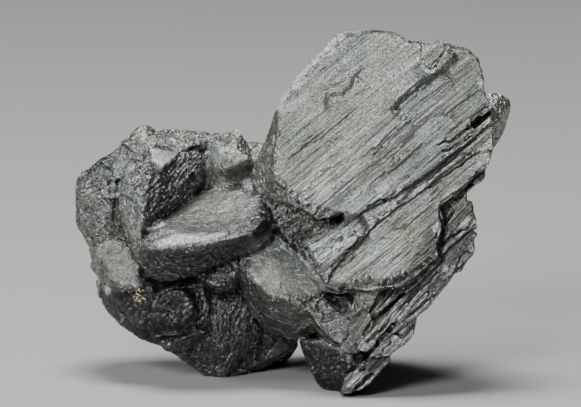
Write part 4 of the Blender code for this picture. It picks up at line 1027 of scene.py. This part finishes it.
def andorite_colour(tree, marks, patterns):
    """Broken and grown faces, with tarnish, painted light and painted shade, worn edges with painted
    highlights, and painted glints over them.
    """
    tones = {
        name: add_node(tree, "ShaderNodeValToRGB", {"Fac": patterns[pattern]}, stops).outputs["Color"]
        for name, (pattern, stops) in TONES.items()}
    grown = with_layers(tree, tones["matte"], [
        (marks["lined"], tones["lined"], "MIX"),
        (0.9, tones["streaked"], "MULTIPLY"),
    ])
    # Raised edges are paler: partly wear, partly a painted highlight.
    edges = add_node(tree, "ShaderNodeMath", {0: marks["edge_wear_and_highlight"], 1: 0.6}, operation="MULTIPLY").outputs[0]
    return with_layers(tree, tones["broken"], [
        (marks["grown"], grown, "MIX"),
        (marks["smooth"], tones["smooth"], "MIX"),
        (0.8, tones["tarnish"], "MULTIPLY"),
        (marks["warm"], colour("#ece2d2"), "MULTIPLY"),
        # Painted light on lit faces.
        (marks["painted_light"], (2.0, 2.0, 2.0, 1.0), "MULTIPLY"),
        # Painted shade on shaded faces and undersides.
        (marks["painted_shade"], colour("#343635"), "MIX"),
        # Painted shade in creases and hollows.
        (marks["hollow"], colour("#1c1d1d"), "MIX"),
        # Worn edges with a painted highlight.
        (edges, colour("#dadcd8"), "MIX"),
        # Painted glints and highlights, near white.
        (marks["fresh"], colour("#f4f4f0"), "MIX"),
        (0.8, tones["specks"], "MULTIPLY"),
    ])


def andorite_metallic(tree, marks):
    """Less metallic where glints are painted, so that the painted highlights look whitish from everywhere.
    """
    share = add_node(tree, "ShaderNodeMapRange", {"Value": marks["fresh"], "To Min": 0.8, "To Max": 0.35})
    return share.outputs["Result"]


def andorite_roughness(tree, marks, patterns):
    """Rough in a fine grain, and a little more so on smooth and grown faces."""
    grain = add_node(tree, "ShaderNodeMapRange", {
        "Value": patterns["grain"], "From Min": 0.3, "From Max": 0.7, "To Min": 0.38, "To Max": 0.25})
    roughness = grain.outputs["Result"]
    for name, more in (("smooth", 0.18), ("grown", 0.06)):
        roughness = add_node(tree, "ShaderNodeMath", {0: marks[name], 1: more, 2: roughness},
                             operation="MULTIPLY_ADD").outputs[0]
    return roughness


def andorite_normal(tree, marks, patterns):
    """A fine grain everywhere, with growth lines on grown faces and a ragged grain on broken ones."""
    fine, torn, lined = (
        add_node(tree, "ShaderNodeBump", {
            "Height": patterns[pattern], "Strength": strength, "Distance": depth * MM})
        for pattern, strength, depth in (("grain", 0.6, 0.05), ("ragged", 0.7, 0.05), ("line", 0.8, 0.07)))
    for bump in (torn, lined):
        tree.links.new(fine.outputs["Normal"], bump.inputs["Normal"])
    calm = add_node(tree, "ShaderNodeMath", {0: marks["smooth"], 1: 0.6}, operation="MULTIPLY").outputs[0]
    normal = torn.outputs["Normal"]
    for share, over in ((marks["grown"], lined), (calm, fine)):
        normal = add_node(tree, "ShaderNodeMix", {0: share, 4: normal, 5: over.outputs["Normal"]},
                          data_type="VECTOR").outputs[1]
    return normal


def andorite_finish():
    """Andorite, a lead silver antimony sulphide, as grown and broken: a dark steel grey metal lustre,
    dulled by a fine grain. Painted glints are bright, and painted shade darkens hollows and shaded faces."""
    material = bpy.data.materials.new("andorite_grown_and_broken")
    material.use_nodes = True
    tree = material.node_tree
    marks = {
        name: add_node(tree, "ShaderNodeAttribute", attribute_name=name).outputs["Fac"] for name in MARKS}
    patterns = andorite_patterns(tree, marks)
    shader = tree.nodes["Principled BSDF"]
    tree.links.new(andorite_colour(tree, marks, patterns), shader.inputs["Base Color"])
    tree.links.new(andorite_metallic(tree, marks), shader.inputs["Metallic"])
    tree.links.new(andorite_roughness(tree, marks, patterns), shader.inputs["Roughness"])
    tree.links.new(andorite_normal(tree, marks, patterns), shader.inputs["Normal"])
    return material


# Small grains and splinters

# Each group: shape, material, x, y, reach and count, with the least and greatest size in millimetres.
GRAIN_GROUPS = [
    ("grain", "white", (23.7, 13.2), 0.45, 10, (0.25, 0.55)),
    ("grain", "pale", (23.4, 14.5), 0.55, 14, (0.22, 0.48)),
    ("grain", "pale", (20.6, 15.2), 0.45, 8, (0.15, 0.32)),
    ("grain", "pale", (43.4, 7.0), 0.28, 7, (0.18, 0.36)),
    ("grain", "pale", (41.2, 4.8), 0.30, 7, (0.18, 0.36)),
    ("grain", "brassy", (13.9, 29.6), 0.65, 16, (0.18, 0.42)),
    ("grain", "pale", (9.2, 28.0), 0.5, 4, (0.14, 0.28)),
    # The splinters are painted glints: whitish specks set where the stone catches the light.
    ("splinter", "fresh", (10.5, 29.2), 0.5, 8, (0.25, 0.55)),
    ("splinter", "fresh", (11.2, 32.6), 0.6, 8, (0.20, 0.45)),
    ("splinter", "fresh", (29.4, 7.6), 0.7, 34, (0.25, 0.60)),
    ("splinter", "fresh", (28.3, 9.4), 0.6, 26, (0.25, 0.55)),
    ("splinter", "fresh", (31.0, 6.0), 0.9, 22, (0.20, 0.45)),
    ("splinter", "fresh", (33.4, 4.2), 0.8, 24, (0.20, 0.50)),
    ("splinter", "fresh", (48.3, 15.8), 0.6, 18, (0.25, 0.50)),
    ("splinter", "fresh", (46.4, 22.2), 0.5, 16, (0.25, 0.50)),
    ("splinter", "fresh", (43.7, 22.7), 0.5, 14, (0.20, 0.40)),
    ("splinter", "fresh", (40.8, 21.8), 0.5, 6, (0.20, 0.36)),
    ("splinter", "fresh", (38.6, 27.2), 1.2, 16, (0.16, 0.34)),
    ("splinter", "fresh", (25.3, 27.6), 0.9, 26, (0.20, 0.42)),
    ("splinter", "fresh", (27.6, 29.2), 1.0, 18, (0.16, 0.34)),
    ("splinter", "fresh", (17.8, 23.8), 1.6, 24, (0.18, 0.40)),
    ("splinter", "fresh", (21.6, 38.0), 1.4, 20, (0.16, 0.36)),
    ("splinter", "fresh", (15.6, 16.2), 0.6, 16, (0.20, 0.40)),
    ("splinter", "fresh", (13.0, 22.6), 1.6, 24, (0.16, 0.36)),
    ("splinter", "fresh", (9.4, 21.8), 1.6, 18, (0.14, 0.34)),
    ("splinter", "fresh", (22.4, 32.4), 2.4, 30, (0.14, 0.32)),
    ("splinter", "fresh", (17.6, 18.4), 2.2, 26, (0.14, 0.34)),
    ("splinter", "fresh", (40.4, 30.6), 2.4, 30, (0.14, 0.32)),
    ("splinter", "fresh", (35.8, 32.8), 1.8, 20, (0.14, 0.30)),
    ("splinter", "fresh", (37.6, 14.0), 7.0, 110, (0.11, 0.20)),
    ("splinter", "fresh", (20.6, 21.4), 3.6, 40, (0.11, 0.24)),
    ("splinter", "fresh", (45.0, 27.2), 1.2, 10, (0.16, 0.34)),
]
# A body's proportions and how many corners it is made from, how far behind a group's nearest point its
# grains may sit and how far inside the surface's box they stay, in millimetres, and the seeds of where
# they sit and how they are turned.
BODY_BOX = {"grain": (1.0, 0.8, 0.7), "splinter": (1.0, 0.4, 0.2)}
BODY_CORNERS = 11
HIDDEN_BELOW = 1.0
CLEAR_OF_BOX = 0.4
SEAT_SEED = 200
TURN_SEED = 5


def grain_body(kind):
    """An irregular closed body about 1 across, for one grain or splinter."""
    body = bmesh.new()
    corners = np.random.RandomState(len(kind)).normal(size=(BODY_CORNERS, 3))
    corners /= np.linalg.norm(corners, axis=1)[:, None]
    for corner in corners * np.array(BODY_BOX[kind]) / 2:
        body.verts.new(corner)
    hull = bmesh.ops.convex_hull(body, input=body.verts)
    bmesh.ops.delete(body, geom=hull["geom_interior"], context="VERTS")
    bmesh.ops.recalc_face_normals(body, faces=body.faces)
    mesh = bpy.data.meshes.new(kind)
    body.to_mesh(mesh)
    body.free()
    return linked(kind, mesh)


def grain_seats(places, normals, middle, reach, count, chance):
    """Numbers of the surface points that a group's grains sit on."""
    away = np.hypot(*(places[:, :2] - middle).T)
    there = to_frame(places)
    low, high = there.min(axis=0) + CLEAR_OF_BOX, there.max(axis=0) - CLEAR_OF_BOX
    inside = ((there > low) & (there < high)).all(axis=1)
    near = np.nonzero((away < reach) & (normals[:, 2] < -0.1) & inside)[0]
    nearest = places[near, 2].min(initial=math.inf)
    near = near[places[near, 2] < nearest + HIDDEN_BELOW * max(1.0, reach)]
    return chance.choice(near, min(count, len(near)), replace=False)


def grain_tree(kind, finish):
    """Geometry nodes that set a body on each point, turned at random, as one joined mesh."""
    tree = bpy.data.node_groups.new("set_grains_" + kind, "GeometryNodeTree")
    for name, kind_of_socket in (("Geometry", "NodeSocketGeometry"), ("Body", "NodeSocketObject"),
                                 ("Seed", "NodeSocketInt")):
        tree.interface.new_socket(name, in_out="INPUT", socket_type=kind_of_socket)
    tree.interface.new_socket("Geometry", in_out="OUTPUT", socket_type="NodeSocketGeometry")
    given = add_node(tree, "NodeGroupInput")
    body = add_node(tree, "GeometryNodeObjectInfo", {"Object": given.outputs["Body"]})
    size = add_node(tree, "GeometryNodeInputNamedAttribute", {"Name": "size"}, data_type="FLOAT")
    turn = add_node(tree, "FunctionNodeRandomValue", {
        "Min": (0.0, 0.0, 0.0), "Max": (math.tau, math.tau, math.tau), "Seed": given.outputs["Seed"]},
        data_type="FLOAT_VECTOR")
    placed = add_node(tree, "GeometryNodeInstanceOnPoints", {
        "Points": given.outputs["Geometry"], "Instance": body.outputs["Geometry"],
        "Rotation": turn.outputs["Value"], "Scale": size.outputs["Attribute"]})
    joined = add_node(tree, "GeometryNodeRealizeInstances", {"Geometry": placed.outputs["Instances"]})
    done = add_node(tree, "GeometryNodeSetMaterial", {
        "Geometry": joined.outputs["Geometry"], "Material": finish})
    add_node(tree, "NodeGroupOutput", {"Geometry": done.outputs["Geometry"]})
    return tree


def set_grains(surface, kind, look, finish):
    """One joined mesh with all the grains of a kind and look, seated on the surface."""
    places, normals = to_grid(points_of(surface.data) / MM), normals_of(surface.data)
    chance = np.random.RandomState(SEAT_SEED + len(look) + len(kind))
    seats, sizes = [], []
    for group_kind, group_look, middle, reach, count, (least, greatest) in GRAIN_GROUPS:
        if (group_kind, group_look) == (kind, look):
            chosen = grain_seats(places, normals, middle, reach, count, chance)
            seats += chosen.tolist()
            sizes += chance.uniform(least, greatest, len(chosen)).tolist()
    mesh = bpy.data.meshes.new("seats")
    mesh.from_pydata((to_frame(places[seats]) * MM).tolist(), [], [])
    mesh.attributes.new("size", "FLOAT", "POINT").data.foreach_set("value", np.array(sizes) * MM)
    item = linked("seats", mesh)
    body = grain_body(kind)
    nodes = item.modifiers.new("grains", "NODES")
    nodes.node_group = grain_tree(kind, finish)
    sockets = {s.name: s.identifier for s in nodes.node_group.interface.items_tree if s.in_out == "INPUT"}
    nodes[sockets["Body"]] = body
    nodes[sockets["Seed"]] = TURN_SEED
    made = linked(f"{look}_{kind}s", with_modifiers_applied(item))
    bpy.data.objects.remove(body)
    made.data.shade_flat()
    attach(made, "root")


def grain_finish(name, stops, metallic, roughness):
    """A small mineral grain's material, mottled at about its own size, 0.3 mm."""
    material = bpy.data.materials.new(name)
    material.use_nodes = True
    tree = material.node_tree
    shader = tree.nodes["Principled BSDF"]
    place = add_node(tree, "ShaderNodeTexCoord").outputs["Object"]
    mottle = add_node(tree, "ShaderNodeTexNoise", {"Vector": place, "Scale": 1 / (0.3 * MM), "Detail": 2.0})
    tone = add_node(tree, "ShaderNodeValToRGB", {"Fac": mottle.outputs["Fac"]}, stops)
    tree.links.new(tone.outputs["Color"], shader.inputs["Base Color"])
    shader.inputs["Metallic"].default_value = metallic
    shader.inputs["Roughness"].default_value = roughness
    return material


def grains(surface):
    # Quartz: clear to milky white small crystals.
    white = grain_finish("milky_quartz", [(0.35, "#cfd0cc"), (0.65, "#f4f4f0")], 0.0, 0.30)
    # Siderite or pale clay: cream to pale yellow grains, waxy.
    pale = grain_finish("pale_yellow_grains", [(0.35, "#d8cc96"), (0.65, "#fbf3cc")], 0.0, 0.45)
    # Chalcopyrite: brassy yellow metal with a thin orange tarnish.
    brassy = grain_finish("brassy_chalcopyrite", [(0.35, "#cdbb88"), (0.65, "#f8ebc6")], 0.3, 0.35)
    # Painted glints: bright whitish splinters set where the stone catches the light.
    fresh = grain_finish("fresh_andorite_splinters", [(0.35, "#dcdedb"), (0.65, "#fafbf8")], 0.5, 0.36)
    for kind, look, finish in (("grain", "white", white), ("grain", "pale", pale),
                               ("grain", "brassy", brassy), ("splinter", "fresh", fresh)):
        set_grains(surface, kind, look, finish)


# Floor, lights and camera, in metres and watts

FLOOR_HALF = 4.0
AIM = Vector((0.0, 0.0, 0.018))
# Each light's name, place, width and power.
LIGHTS = [
    ("front_left", (-0.125, -0.34, 0.23), 0.14, 0.9),
    ("above", (-0.02, 0.02, 0.43), 0.16, 1.6),
    ("left", (-0.38, -0.08, 0.20), 0.16, 0.6),
]
CAMERA_DISTANCE = 1.0
# The view's width, and its middle in the layout grid.
VIEW_WIDTH = 0.0581
VIEW_MIDDLE = (29.05, 20.35, 0.0)


def floor():
    """A plain pale floor, wide enough to fill every view."""
    sheet = bmesh.new()
    sheet.faces.new([
        sheet.verts.new((x * FLOOR_HALF, y * FLOOR_HALF, 0.0))
        for x, y in ((-1, -1), (1, -1), (1, 1), (-1, 1))])
    mesh = bpy.data.meshes.new("floor")
    sheet.to_mesh(mesh)
    sheet.free()
    material = bpy.data.materials.new("matt_pale_board")
    material.use_nodes = True
    shader = material.node_tree.nodes["Principled BSDF"]
    shader.inputs["Base Color"].default_value = colour("#c4c4c1")
    shader.inputs["Roughness"].default_value = 0.9
    mesh.materials.append(material)
    item = linked("floor", mesh)


def soft_light(name, place, size, power):
    """A round lamp turned to the specimen's middle."""
    lamp = bpy.data.lights.new(name, "AREA")
    lamp.shape = "DISK"
    lamp.size = size
    lamp.energy = power
    item = linked(name, lamp)
    item.location = place
    item.rotation_mode = "QUATERNION"
    item.rotation_quaternion = (AIM - Vector(place)).to_track_quat("-Z", "Y")


def studio():
    world = bpy.data.worlds.new("dim_room")
    world.use_nodes = True
    world.node_tree.nodes["Background"].inputs["Color"].default_value = (0.02, 0.02, 0.02, 1.0)
    bpy.context.scene.world = world
    for light in LIGHTS:
        soft_light(*light)


def camera():
    """A long lens a metre away, looking 10 degrees down, with 0.1 mm to a pixel."""
    target = Vector(to_frame(np.array(VIEW_MIDDLE))) * MM
    lens = bpy.data.cameras.new("camera")
    lens.sensor_width = 36.0
    lens.lens = lens.sensor_width * CAMERA_DISTANCE / VIEW_WIDTH
    lens.clip_end = 20.0
    item = linked("camera", lens)
    back = Vector((0.0, -math.cos(LEAN), math.sin(LEAN)))
    item.location = target + back * CAMERA_DISTANCE
    item.rotation_mode = "QUATERNION"
    item.rotation_quaternion = (-back).to_track_quat("-Z", "Y")
    bpy.context.scene.camera = item


def build():
    surface = finished_surface(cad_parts[NODE])
    surface.data.materials.clear()
    surface.data.materials.append(andorite_finish())
    surface.data.shade_flat()
    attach(surface, "root")
    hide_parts(NODE)
    grains(surface)
    floor()
    studio()
    camera()


build()
